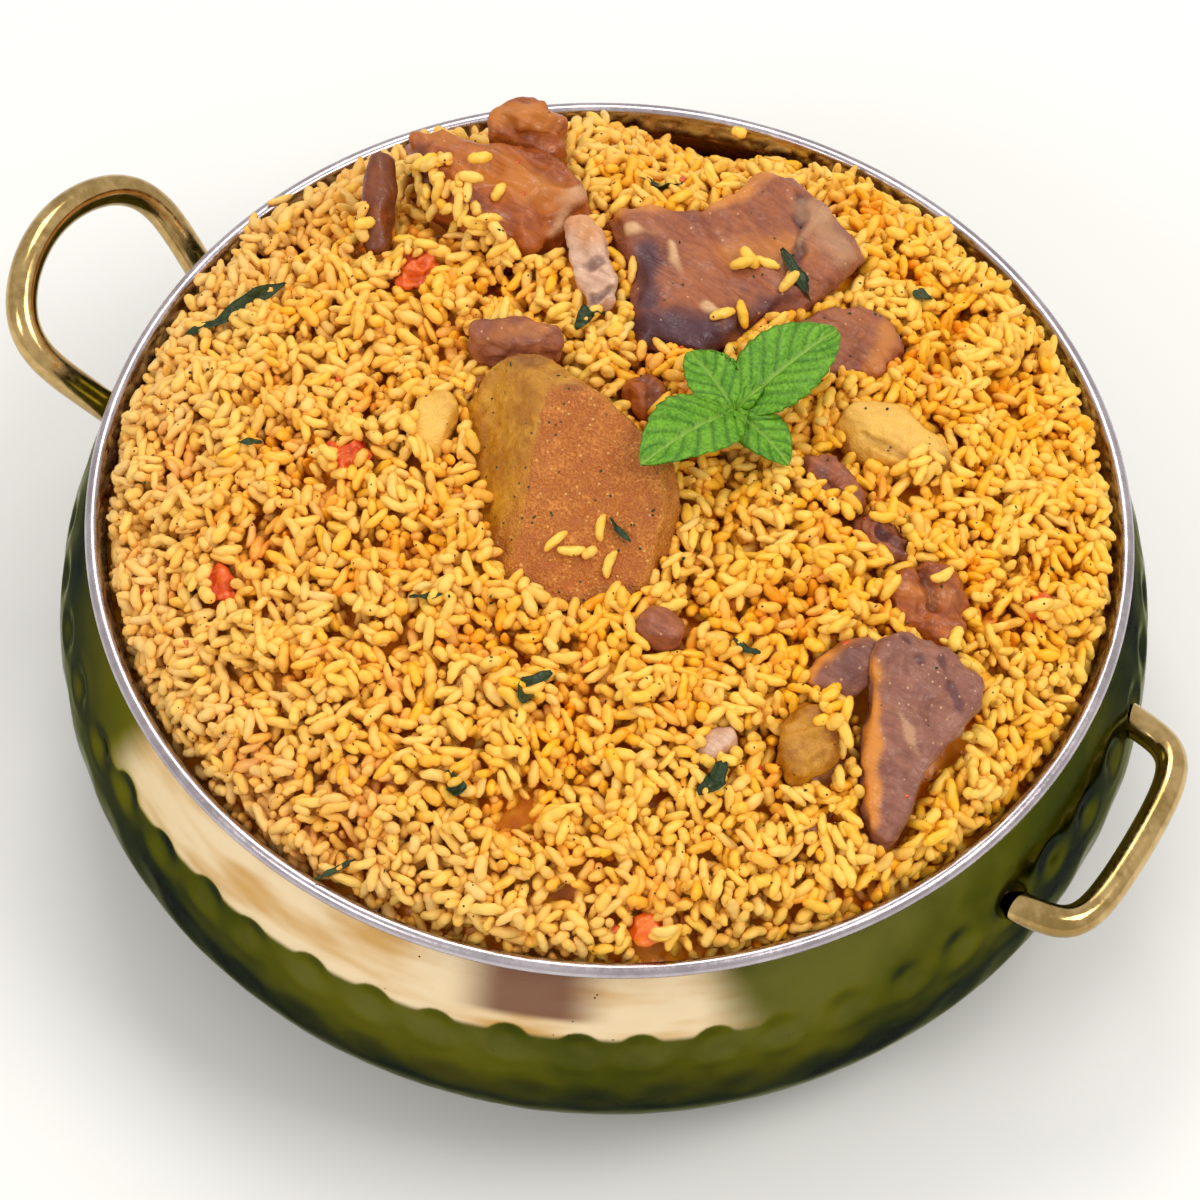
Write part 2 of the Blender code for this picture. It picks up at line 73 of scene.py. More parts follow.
class Sheet:
    """Adds linked nodes to one node tree, of a material, a group or a modifier."""

    def __init__(self, tree: bpy.types.NodeTree) -> None:
        """Keep the tree that the nodes go into."""
        self.tree = tree

    def add(self, kind: str, inputs: dict | None = None, **settings: object) -> bpy.types.Node:
        """Add a node.

        Args:
            kind: Blender's name of the node type.
            inputs: Value or source socket for each input, by its name or number.
            settings: Properties of the node.

        Returns:
            The new node.
        """
        node = self.tree.nodes.new(kind)
        for name, value in settings.items():
            setattr(node, name, value)
        self.feed(node, inputs or {})
        return node

    def feed(self, node: bpy.types.Node, inputs: dict) -> None:
        """Link a source socket, or set a value, for each input by its name or number."""
        for key, value in inputs.items():
            if isinstance(value, bpy.types.NodeSocket):
                self.tree.links.new(value, node.inputs[key])
            else:
                node.inputs[key].default_value = value

    def maths(self, operation: str, first: object, second: object = 0.0) -> bpy.types.NodeSocket:
        """Return the result of a Math node on one or two values."""
        return self.add("ShaderNodeMath", {0: first, 1: second}, operation=operation).outputs[0]

    def plus(self, first: object, second: object) -> bpy.types.NodeSocket:
        """Return the sum of two values."""
        return self.maths("ADD", first, second)

    def minus(self, first: object, second: object) -> bpy.types.NodeSocket:
        """Return the first value less the second."""
        return self.maths("SUBTRACT", first, second)

    def times(self, first: object, second: object) -> bpy.types.NodeSocket:
        """Return the product of two values."""
        return self.maths("MULTIPLY", first, second)

    def ease(self, value: object, low: float, high: float,
             to: tuple[float, float] = (0.0, 1.0)) -> bpy.types.NodeSocket:
        """Return value mapped smoothly from low..high to the two numbers in to."""
        node = self.add("ShaderNodeMapRange",
                        {"Value": value, "From Min": low, "From Max": high,
                         "To Min": to[0], "To Max": to[1]}, interpolation_type="SMOOTHSTEP")
        return node.outputs["Result"]

    def blend(self, share: object, first: object, second: object) -> bpy.types.NodeSocket:
        """Return the mix of two colours; a colour is a socket or three numbers."""
        pair = [c if isinstance(c, bpy.types.NodeSocket) else (*c, 1.0) for c in (first, second)]
        node = self.add("ShaderNodeMix", {0: share, 6: pair[0], 7: pair[1]}, data_type="RGBA")
        return node.outputs[2]

    def noise(self, place: object, scale: object, detail: float = 3.0,
              rough: float = 0.55) -> bpy.types.NodeSocket:
        """Return a noise value around a half, at a scale in cycles per metre."""
        node = self.add("ShaderNodeTexNoise", {"Vector": place, "Scale": scale, "Detail": detail,
                                               "Roughness": rough})
        return node.outputs[0]

    def attribute(self, name: str) -> bpy.types.NodeSocket:
        """Return a piece's own attribute as a number."""
        return self.add("ShaderNodeAttribute", attribute_name=name).outputs["Fac"]

    def place(self) -> bpy.types.NodeSocket:
        """Return the Object coordinates."""
        return self.add("ShaderNodeTexCoord").outputs["Object"]

    def split(self, vector: object) -> list[bpy.types.NodeSocket]:
        """Return the three parts of a vector."""
        return list(self.add("ShaderNodeSeparateXYZ", {0: vector}).outputs)

    def stretched(self, along: Colour, turn: float) -> bpy.types.NodeSocket:
        """Return Object coordinates scaled along each axis after a turn about Z in degrees."""
        node = self.add("ShaderNodeMapping", {"Vector": self.place(), "Scale": along,
                                              "Rotation": (0.0, 0.0, math.radians(turn))})
        return node.outputs[0]

    def bump(self, height: object, depth: float) -> bpy.types.NodeSocket:
        """Return a normal bumped by a height in 0..1 that stands for depth in metres."""
        return self.add("ShaderNodeBump", {"Height": height, "Distance": depth,
                                           "Strength": 1.0}).outputs[0]


def shader_group(name: str, inputs: list[tuple[str, str, object]], output: str
                 ) -> tuple[Sheet, bpy.types.Node, bpy.types.Node]:
    """Start a shader node group with named inputs and one number as output.

    Args:
        name: Name of the group.
        inputs: Label, socket type and default of each input.
        output: Label of the output.

    Returns:
        The sheet of the group, its input node and its output node.
    """
    tree = bpy.data.node_groups.new(name, "ShaderNodeTree")
    for label, kind, default in inputs:
        socket = tree.interface.new_socket(label, in_out="INPUT", socket_type=kind)
        if default is not None:
            socket.default_value = default
    tree.interface.new_socket(output, in_out="OUTPUT", socket_type="NodeSocketFloat")
    sheet = Sheet(tree)
    return sheet, sheet.add("NodeGroupInput"), sheet.add("NodeGroupOutput")


def specks_group() -> bpy.types.NodeTree:
    """Group of small dots: a mask of scattered specks of a size, some cells left empty."""
    found = bpy.data.node_groups.get("Specks")
    if found:
        return found
    sheet, source, target = shader_group(
        "Specks", [("Place", "NodeSocketVector", None), ("Scale", "NodeSocketFloat", 500.0),
                   ("Size", "NodeSocketFloat", 0.2), ("Share", "NodeSocketFloat", 0.5)], "Mask")
    cells = sheet.add("ShaderNodeTexVoronoi", {"Vector": source.outputs["Place"],
                                               "Scale": source.outputs["Scale"]})
    dot = sheet.maths("LESS_THAN", cells.outputs["Distance"], source.outputs["Size"])
    pick = sheet.add("ShaderNodeSeparateColor", {0: cells.outputs["Color"]}).outputs[0]
    kept = sheet.maths("LESS_THAN", pick, source.outputs["Share"])
    sheet.tree.links.new(sheet.times(dot, kept), target.inputs[0])
    return sheet.tree


def mottle_group() -> bpy.types.NodeTree:
    """Group of soft patches: two noises, coarse and fine, stretched to fill 0..1."""
    found = bpy.data.node_groups.get("Mottle")
    if found:
        return found
    sheet, source, target = shader_group(
        "Mottle", [("Place", "NodeSocketVector", None), ("Scale", "NodeSocketFloat", 80.0),
                   ("Fine Share", "NodeSocketFloat", 0.35)], "Value")
    coarse = sheet.noise(source.outputs["Place"], source.outputs["Scale"])
    fine = sheet.noise(source.outputs["Place"],
                       sheet.times(source.outputs["Scale"], FINE_MOTTLE))
    mixed = sheet.add("ShaderNodeMix", {0: source.outputs["Fine Share"], 2: coarse, 3: fine},
                      data_type="FLOAT").outputs[0]
    sheet.tree.links.new(sheet.ease(mixed, 0.36, 0.64), target.inputs[0])
    return sheet.tree


# ---------------------------------------------------------------- finishes

@dataclass(frozen=True)
class Finish:
    """A finish of the pot or the food; each kind dresses its own shader."""
    name: str
    slot: Slot
    roughness: float = 0.4

    def material(self) -> bpy.types.Material:
        """Return the finish's material, made once."""
        label = "finish_" + self.name
        found = bpy.data.materials.get(label)
        if found:
            return found
        made = bpy.data.materials.new(label)
        made.use_nodes = True
        shader = made.node_tree.nodes["Principled BSDF"]
        shader.inputs["Roughness"].default_value = self.roughness
        self.dress(Sheet(made.node_tree), shader)
        return made

    def dress(self, sheet: Sheet, shader: bpy.types.Node) -> None:
        """Link the finish's colours, roughness and normals to the shader."""
        raise NotImplementedError

    def smudged(self, sheet: Sheet, scale: float, fine: float, low: float,
                high: float) -> bpy.types.NodeSocket:
        """Return the roughness in patches, from low to high times the finish's own."""
        return sheet.ease(self.mottle(sheet, scale, fine), 0.0, 1.0,
                          (self.roughness * low, self.roughness * high))

    def specks(self, sheet: Sheet, scale: float, size: float, share: float) -> bpy.types.NodeSocket:
        """Return the mask of the shared speck group at this scale, size and share of cells."""
        return sheet.add("ShaderNodeGroup", {"Place": sheet.place(), "Scale": scale, "Size": size,
                                             "Share": share},
                         node_tree=specks_group()).outputs["Mask"]

    def mottle(self, sheet: Sheet, scale: float, fine: float = 0.35) -> bpy.types.NodeSocket:
        """Return the value of the shared mottle group at this scale."""
        return sheet.add("ShaderNodeGroup", {"Place": sheet.place(), "Scale": scale,
                                             "Fine Share": fine},
                         node_tree=mottle_group()).outputs["Value"]


@dataclass(frozen=True)
class HammeredBrass(Finish):
    """Polished brass: a painted olive reflection on the belly, and a painted pale gold reflection
    on the shoulder.
    """
    belly: Colour = (0.055, 0.062, 0.006)
    belly_reflection_light: Colour = (0.12, 0.115, 0.018)
    shoulder_reflection: Colour = (0.84, 0.66, 0.42)
    shoulder_reflection_deep: Colour = (0.62, 0.36, 0.12)
    shoulder_reflection_dark: Colour = (0.16, 0.055, 0.032)
    dust: Colour = (0.05, 0.03, 0.01)
    dark_reflection_turn: float = -1.19
    shoulder_reflection_height: float = 56.0 * MM
    shoulder_reflection_azimuth: float = -84.0
    dimple_edge: float = 4.2 * MM

    def dress(self, sheet: Sheet, shader: bpy.types.Node) -> None:
        """Dress the painted belly reflection and the painted shoulder reflection, which meet along
        the tops of the dimples.
        """
        x, y, height = sheet.split(sheet.place())
        turn = sheet.maths("ARCTAN2", y, x)
        # painted reflection: pale gold on the shoulder's front and rear quarters, its lower edge
        # following the tops of the dimples
        on_shoulder_reflection = sheet.times(sheet.times(
            self.step_at(sheet, height, self.shoulder_reflection_height, 0.8 * MM),
            self.step_at(sheet, sheet.attribute("dimple_reach"), self.dimple_edge, 0.5 * MM)),
            self.reflection_quarters(sheet))
        # painted reflection: the olive belly colour, mottled with lighter patches, stands for green
        # surroundings mirrored in the metal
        belly = sheet.blend(self.mottle(sheet, 22.0, 0.25), self.belly, self.belly_reflection_light)
        # the painted belly reflection grows darker towards the foot
        foot = sheet.ease(height, 0.0, 40 * MM, (0.75, 0.0))
        belly = sheet.blend(foot, belly, self.belly)
        # streaks of the painted shoulder reflection, drawn along the turn about the pot
        drawn = sheet.add("ShaderNodeCombineXYZ", {0: sheet.times(turn, 2.2),
                                                   1: sheet.times(height, 95.0)})
        reflection_streaks = sheet.noise(drawn.outputs[0], 1.6, 2.0)
        shoulder_reflection = sheet.blend(sheet.ease(reflection_streaks, 0.40, 0.72), self.shoulder_reflection, self.shoulder_reflection_deep)
        # painted dark reflection across one narrow turn of the shoulder
        aside = sheet.maths("ABSOLUTE", sheet.minus(turn, self.dark_reflection_turn))
        dark_reflection_share = sheet.times(sheet.ease(aside, 0.05, 0.16, (0.9, 0.0)),
                               self.step_at(sheet, height, 60 * MM, 1 * MM))
        shoulder_reflection = sheet.blend(dark_reflection_share, shoulder_reflection, self.shoulder_reflection_dark)
        metal = sheet.blend(on_shoulder_reflection, belly, shoulder_reflection)
        dust = self.specks(sheet, 420.0, 0.09, 0.12)
        scratches = sheet.noise(sheet.stretched((1.0, 1.0, 9.0), 0.0), 900.0, 2.0)
        sheet.feed(shader, {
            "Base Color": sheet.blend(dust, metal, self.dust),
            "Roughness": sheet.ease(self.mottle(sheet, 60.0, 0.6), 0.0, 1.0, (0.07, 0.20)),
            "Normal": sheet.bump(scratches, 0.012 * MM), "Metallic": 1.0,
            "Specular Tint": (0.24, 0.26, 0.05, 1.0), "Coat Weight": 0.08,
            "Coat Roughness": 0.06})

    @staticmethod
    def step_at(sheet: Sheet, value: object, middle: float, half: float) -> bpy.types.NodeSocket:
        """Return 0 below and 1 above a middle, eased over half on either side."""
        return sheet.ease(value, middle - half, middle + half)

    def reflection_quarters(self, sheet: Sheet) -> bpy.types.NodeSocket:
        """Return 1 on the front and rear quarters of the shoulder, where the pale reflection is
        painted, and 0 beside the handles.
        """
        turned = sheet.add("ShaderNodeVectorRotate", {
            "Vector": sheet.place(), "Angle": -math.radians(self.shoulder_reflection_azimuth)},
            rotation_type="Z_AXIS").outputs[0]
        x, y, _ = sheet.split(turned)
        near = sheet.times(x, x)
        share = sheet.maths("DIVIDE", near, sheet.plus(near, sheet.times(y, y)))
        patchy = sheet.times(sheet.noise(sheet.place(), 16.0, 1.0), 0.5)
        return sheet.ease(sheet.plus(share, patchy), 0.84, 0.98)


@dataclass(frozen=True)
class PolishedMetal(Finish):
    """Plain polished metal with smudges and fine scratches, and a darker brown colour low inside
    the pot.
    """
    colour: Colour = (0.6, 0.6, 0.6)
    deep: Colour = (0.3, 0.3, 0.3)
    lower_tint: Colour | None = None
    lower_tint_top: float = 70.4 * MM
    patch_scale: float = 60.0

    def dress(self, sheet: Sheet, shader: bpy.types.Node) -> None:
        """Dress the metal with patches, smudged roughness and scratches."""
        colour = sheet.blend(self.mottle(sheet, self.patch_scale), self.colour, self.deep)
        # darker brown below a given height on the liner
        if self.lower_tint is not None:
            height = sheet.split(sheet.place())[2]
            low = sheet.ease(height, self.lower_tint_top - 1.2 * MM, self.lower_tint_top, (0.85, 0.0))
            colour = sheet.blend(low, colour, self.lower_tint)
        scratches = sheet.noise(sheet.place(), 1400.0, 2.0)
        sheet.feed(shader, {
            "Base Color": colour, "Normal": sheet.bump(scratches, 0.0015 * MM), "Metallic": 1.0,
            "Roughness": self.smudged(sheet, 140.0, 0.6, 0.7, 1.4)})


@dataclass(frozen=True)
class CookedRice(Finish):
    """Golden grains: each has its own tone, with painted shade on grains deep in the heap and
    painted light on grains above its surface, and paler or deeper patches run over the heap.
    """
    amber: Colour = (0.92, 0.30, 0.002)
    golden: Colour = (0.95, 0.49, 0.020)
    light: Colour = (0.96, 0.61, 0.10)
    beige: Colour = (0.86, 0.55, 0.20)
    spice: Colour = (0.06, 0.025, 0.01)

    def dress(self, sheet: Sheet, shader: bpy.types.Node) -> None:
        """Dress a grain by its tone, which carries painted shade and light, and paleness, with
        darker ends, spice and a moist gloss.
        """
        grime = sheet.noise(sheet.place(), 450.0, 1.0)
        tone = sheet.plus(sheet.attribute("tone"), sheet.times(sheet.minus(grime, 0.5), 0.7))
        colour = sheet.blend(sheet.ease(tone, 0.0, 0.5), self.amber, self.golden)
        colour = sheet.blend(sheet.ease(tone, 0.45, 1.0), colour, self.light)
        colour = sheet.blend(sheet.attribute("pale"), colour, self.beige)
        colour = sheet.blend(sheet.times(sheet.attribute("end"), 0.35), colour, self.amber)
        spice = self.specks(sheet, 520.0, 0.12, 0.22)
        skin = sheet.noise(sheet.place(), 800.0, 0.0)
        sheet.feed(shader, {
            "Base Color": sheet.blend(spice, colour, self.spice),
            "Roughness": sheet.ease(grime, 0.35, 0.65, (0.22, 0.42)),
            "Normal": sheet.bump(skin, 0.14 * MM), "Specular IOR Level": 0.3})


@dataclass(frozen=True)
class Flesh(Finish):
    """Cooked meat or gristle: mottled lean, fat, dark and pale strokes, fibres and specks."""
    lean: Colour = (0.40, 0.125, 0.042)
    deep: Colour = (0.21, 0.055, 0.028)
    fat: Colour = (0.64, 0.23, 0.03)
    dark: Colour = (0.075, 0.022, 0.030)
    pale: Colour = (0.70, 0.42, 0.21)
    fibre_turn: float = 30.0
    fibre_depth: float = 0.40 * MM
    speck_share: float = 0.14

    def dress(self, sheet: Sheet, shader: bpy.types.Node) -> None:
        """Dress the lean first, then fat, dark and pale strokes, then pale specks."""
        fibres = sheet.noise(sheet.stretched((0.14, 1.0, 1.0), self.fibre_turn), 800.0, 3.0, 0.6)
        share = sheet.plus(sheet.times(self.mottle(sheet, 110.0, 0.4), 0.6),
                           sheet.times(sheet.ease(fibres, 0.35, 0.65), 0.4))
        colour = sheet.blend(share, self.lean, self.deep)
        for name, tint in (("fat", self.fat), ("dark", self.dark), ("pale", self.pale)):
            colour = sheet.blend(sheet.attribute(name), colour, tint)
        bits = sheet.times(self.specks(sheet, 620.0, 0.15, self.speck_share), 0.55)
        sheet.feed(shader, {
            "Base Color": sheet.blend(bits, colour, self.pale),
            "Roughness": self.smudged(sheet, 260.0, 0.5, 0.65, 1.45),
            "Normal": sheet.bump(fibres, self.fibre_depth), "Subsurface Weight": 0.08,
            "Subsurface Radius": (1.0, 0.3, 0.15), "Subsurface Scale": 1.5 * MM})


@dataclass(frozen=True)
class CookedPotato(Finish):
    """Potato: yellow, translucent flesh with herb flecks, and a browned, granular crust."""
    flesh: Colour = (0.62, 0.29, 0.025)
    flesh_light: Colour = (0.84, 0.50, 0.09)
    crust: Colour = (0.42, 0.098, 0.008)
    crust_light: Colour = (0.66, 0.23, 0.034)
    brown: Colour = (0.16, 0.05, 0.015)
    crumb: Colour = (0.85, 0.50, 0.14)
    herb: Colour = (0.05, 0.035, 0.01)

    def dress(self, sheet: Sheet, shader: bpy.types.Node) -> None:
        """Dress the flesh, then the crust where the piece is browned."""
        flesh = sheet.blend(self.mottle(sheet, 120.0, 0.3), self.flesh, self.flesh_light)
        grains = self.mottle(sheet, 330.0, 0.6)
        crust = sheet.blend(grains, self.crust, self.crust_light)
        crumbs = sheet.times(self.specks(sheet, 900.0, 0.22, 0.30), 0.8)
        crust = sheet.blend(crumbs, crust, self.crumb)
        colour = sheet.blend(sheet.attribute("crust"), flesh, crust)
        colour = sheet.blend(sheet.attribute("dark"), colour, self.brown)
        colour = sheet.blend(sheet.attribute("pale"), colour, self.flesh_light)
        flecks = self.specks(sheet, 480.0, 0.13, 0.30)
        granular = sheet.ease(sheet.attribute("crust"), 0.0, 1.0, (0.35, 1.0))
        sheet.feed(shader, {
            "Base Color": sheet.blend(flecks, colour, self.herb),
            "Roughness": sheet.ease(grains, 0.0, 1.0, (0.22, 0.50)),
            "Normal": sheet.bump(sheet.times(grains, granular), 0.30 * MM),
            "Subsurface Weight": 0.25, "Subsurface Radius": (1.0, 0.5, 0.15),
            "Subsurface Scale": 2.0 * MM})


@dataclass(frozen=True)
class WetSkin(Finish):
    """Soft tomato or carrot: bright pulp, a deeper skin in patches, and a wet gloss."""
    pulp: Colour = (0.84, 0.19, 0.03)
    skin: Colour = (0.62, 0.045, 0.008)

    def dress(self, sheet: Sheet, shader: bpy.types.Node) -> None:
        """Dress the pulp and the skin."""
        patches = self.mottle(sheet, 210.0, 0.4)
        sheet.feed(shader, {
            "Base Color": sheet.blend(patches, self.pulp, self.skin),
            "Roughness": sheet.ease(patches, 0.0, 1.0, (0.22, 0.42)),
            "Normal": sheet.bump(sheet.noise(sheet.place(), 700.0), 0.2 * MM),
            "Subsurface Weight": 0.2, "Subsurface Radius": (1.0, 0.2, 0.1),
            "Subsurface Scale": 1.5 * MM})


@dataclass(frozen=True)
class LeafGreen(Finish):
    """Leaf: green between lighter veins, darker in the rib grooves as painted shade, with a fine
    crinkle.
    """
    leaf: Colour = (0.060, 0.215, 0.006)
    leaf_light: Colour = (0.165, 0.39, 0.018)
    vein: Colour = (0.32, 0.55, 0.08)
    groove: Colour = (0.018, 0.085, 0.003)

    def dress(self, sheet: Sheet, shader: bpy.types.Node) -> None:
        """Dress the blade, its veins and the painted shade in its grooves."""
        colour = sheet.blend(self.mottle(sheet, 260.0, 0.6), self.leaf, self.leaf_light)
        # painted shade in the rib grooves
        colour = sheet.blend(sheet.attribute("groove"), colour, self.groove)
        colour = sheet.blend(sheet.attribute("vein"), colour, self.vein)
        crinkle = sheet.noise(sheet.place(), 850.0, 2.0)
        sheet.feed(shader, {
            "Base Color": colour, "Roughness": sheet.ease(crinkle, 0.3, 0.7, (0.32, 0.55)),
            "Normal": sheet.bump(crinkle, 0.28 * MM), "Specular IOR Level": 0.3})


BRASS_SHELL = HammeredBrass("brass_hammered", Slot.BRASS)
BRASS_ROD = PolishedMetal("brass_polished", Slot.BRASS, 0.16, (0.62, 0.43, 0.18),
                          (0.36, 0.23, 0.075), patch_scale=90.0)
STEEL = PolishedMetal("steel_rim", Slot.STEEL, 0.24, (0.56, 0.51, 0.55), (0.40, 0.35, 0.38),
                      lower_tint=(0.30, 0.13, 0.04))
RICE = CookedRice("rice_cooked", Slot.RICE)
LEAN = Flesh("meat_lean", Slot.MEAT, 0.50)
LEAN_CROSS = Flesh("meat_cross_grain", Slot.MEAT, 0.50, lean=(0.33, 0.13, 0.08),
                   deep=(0.19, 0.062, 0.042), fibre_turn=-50.0, speck_share=0.45)
BROWNED = Flesh("meat_browned", Slot.FRIED_MEAT, 0.40, lean=(0.46, 0.115, 0.012),
                deep=(0.22, 0.040, 0.005), fat=(0.60, 0.21, 0.028), dark=(0.085, 0.02, 0.008),
                fibre_depth=0.30 * MM, speck_share=0.08)
GRISTLE = Flesh("gristle", Slot.GRISTLE, 0.30, lean=(0.72, 0.47, 0.33), deep=(0.50, 0.27, 0.17),
                pale=(0.85, 0.66, 0.45), speck_share=0.1)
POTATO = CookedPotato("potato", Slot.POTATO)
POTATO_DEEP = CookedPotato("potato_deep", Slot.POTATO, flesh=(0.36, 0.12, 0.002),
                           flesh_light=(0.62, 0.29, 0.016))
TOMATO = WetSkin("tomato", Slot.TOMATO)
CARROT = WetSkin("carrot", Slot.TOMATO, pulp=(0.88, 0.22, 0.02), skin=(0.80, 0.13, 0.01))
MINT = LeafGreen("mint", Slot.MINT)
HERB = LeafGreen("herb_cooked", Slot.MINT, leaf=(0.012, 0.022, 0.008),
                 leaf_light=(0.035, 0.065, 0.015), vein=(0.05, 0.09, 0.02))


# ---------------------------------------------------------------- meshes and modifier trees

def new_object(name: str, mesh: bpy.types.Mesh, finish: Finish | None = None) -> bpy.types.Object:
    """Link a new object for the mesh, smooth-shaded, with its finish if one is given."""
    mesh.shade_smooth()
    made = bpy.data.objects.new(name, mesh)
    bpy.context.scene.collection.objects.link(made)
    if finish is not None:
        mesh.materials.clear()
        mesh.materials.append(finish.material())
    return made


def mesh_from(name: str, points: list, faces: list, edges: list | None = None) -> bpy.types.Mesh:
    """Return a mesh of those points and faces, or edges."""
    mesh = bpy.data.meshes.new(name)
    mesh.from_pydata([tuple(point) for point in points], edges or [], faces)
    mesh.validate()
    return mesh


def barrel_faces(around: int, rings: int) -> list[tuple]:
    """Return faces of a closed form: a point, rings of around points each, and a last point."""
    faces = []
    for here in range(around):
        after = (here + 1) % around
        faces.append((0, 1 + after, 1 + here))
        for ring in range(rings - 1):
            low, high = 1 + ring * around, 1 + (ring + 1) * around
            faces.append((low + here, low + after, high + after, high + here))
        top = 1 + (rings - 1) * around
        faces.append((top + here, top + after, top + around))
    return faces


def grid_faces(start: int, rows: int, count: int) -> list[tuple]:
    """Return faces of a grid of rows of count points, of which the first is number start."""
    corners = [start + row * count + at for row in range(rows - 1) for at in range(count - 1)]
    return [(a, a + 1, a + count + 1, a + count) for a in corners]


def settle_mesh(item: bpy.types.Object) -> bpy.types.Mesh:
    """Turn an object with modifiers into a plain mesh, and remove the object.

    Args:
        item: The object, whose modifiers are read as they stand.

    Returns:
        The evaluated mesh, with its attributes.
    """
    bpy.context.view_layer.update()
    graph = bpy.context.evaluated_depsgraph_get()
    mesh = bpy.data.meshes.new_from_object(item.evaluated_get(graph), depsgraph=graph,
                                           preserve_all_data_layers=True)
    bpy.data.objects.remove(item, do_unlink=True)
    return mesh


def face_outwards(mesh: bpy.types.Mesh, merge: float = 0.0) -> None:
    """Merge close points if asked, and turn the faces of a closed mesh outwards."""
    shape = bmesh.new()
    shape.from_mesh(mesh)
    if merge:
        bmesh.ops.remove_doubles(shape, verts=shape.verts, dist=merge)
    bmesh.ops.recalc_face_normals(shape, faces=shape.faces)
    if shape.calc_volume(signed=True) < 0:
        bmesh.ops.reverse_faces(shape, faces=shape.faces)
    shape.to_mesh(mesh)
    shape.free()


def set_attribute(mesh: bpy.types.Mesh, name: str, values: np.ndarray,
                  kind: str = "FLOAT") -> None:
    """Store one value for each point under that name; kind is Blender's type of it."""
    made = mesh.attributes.get(name) or mesh.attributes.new(name, kind, "POINT")
    made.data.foreach_set("vector" if kind == "FLOAT_VECTOR" else "value",
                          np.asarray(values, np.float32).ravel())


def coordinates(mesh: bpy.types.Mesh) -> np.ndarray:
    """Return the mesh's points as rows."""
    flat = np.zeros(len(mesh.vertices) * 3, np.float32)
    mesh.vertices.foreach_get("co", flat)
    return flat.reshape(-1, 3).astype(float)


class ModifierTree:
    """Geometry Nodes tree with a Geometry input and output and named inputs."""

    def __init__(self, name: str, inputs: list[tuple[str, str]]) -> None:
        """Make the tree.

        Args:
            name: Name of the tree.
            inputs: Label and socket type of each further input.
        """
        self.tree = bpy.data.node_groups.new(name, "GeometryNodeTree")
        self.tree.is_modifier = True
        panel = self.tree.interface
        for label, kind in [("Geometry", "NodeSocketGeometry")] + inputs:
            panel.new_socket(label, in_out="INPUT", socket_type=kind)
        panel.new_socket("Geometry", in_out="OUTPUT", socket_type="NodeSocketGeometry")
        self.sheet = Sheet(self.tree)
        self.source = self.sheet.add("NodeGroupInput")
        self.target = self.sheet.add("NodeGroupOutput")

    def finish(self, geometry: bpy.types.NodeSocket) -> None:
        """End the tree: realize what is instanced, and set the material given to it."""
        solid = self.sheet.add("GeometryNodeRealizeInstances", {0: geometry})
        dressed = self.sheet.add("GeometryNodeSetMaterial",
                                 {"Geometry": solid.outputs[0],
                                  "Material": self.source.outputs["Material"]})
        self.tree.links.new(dressed.outputs[0], self.target.inputs[0])

    def run(self, source: bpy.types.Mesh, values: dict[str, object]) -> bpy.types.Mesh:
        """Run the tree on a mesh.

        Args:
            source: Mesh that the tree starts from.
            values: Value for each named input.

        Returns:
            The plain mesh that comes out.
        """
        item = new_object("source_" + self.tree.name, source)
        modifier = item.modifiers.new(self.tree.name, "NODES")
        modifier.node_group = self.tree
        for socket in self.tree.interface.items_tree:
            if socket.item_type == "SOCKET" and socket.in_out == "INPUT" and socket.name in values:
                modifier[socket.identifier] = values[socket.name]
        return settle_mesh(item)


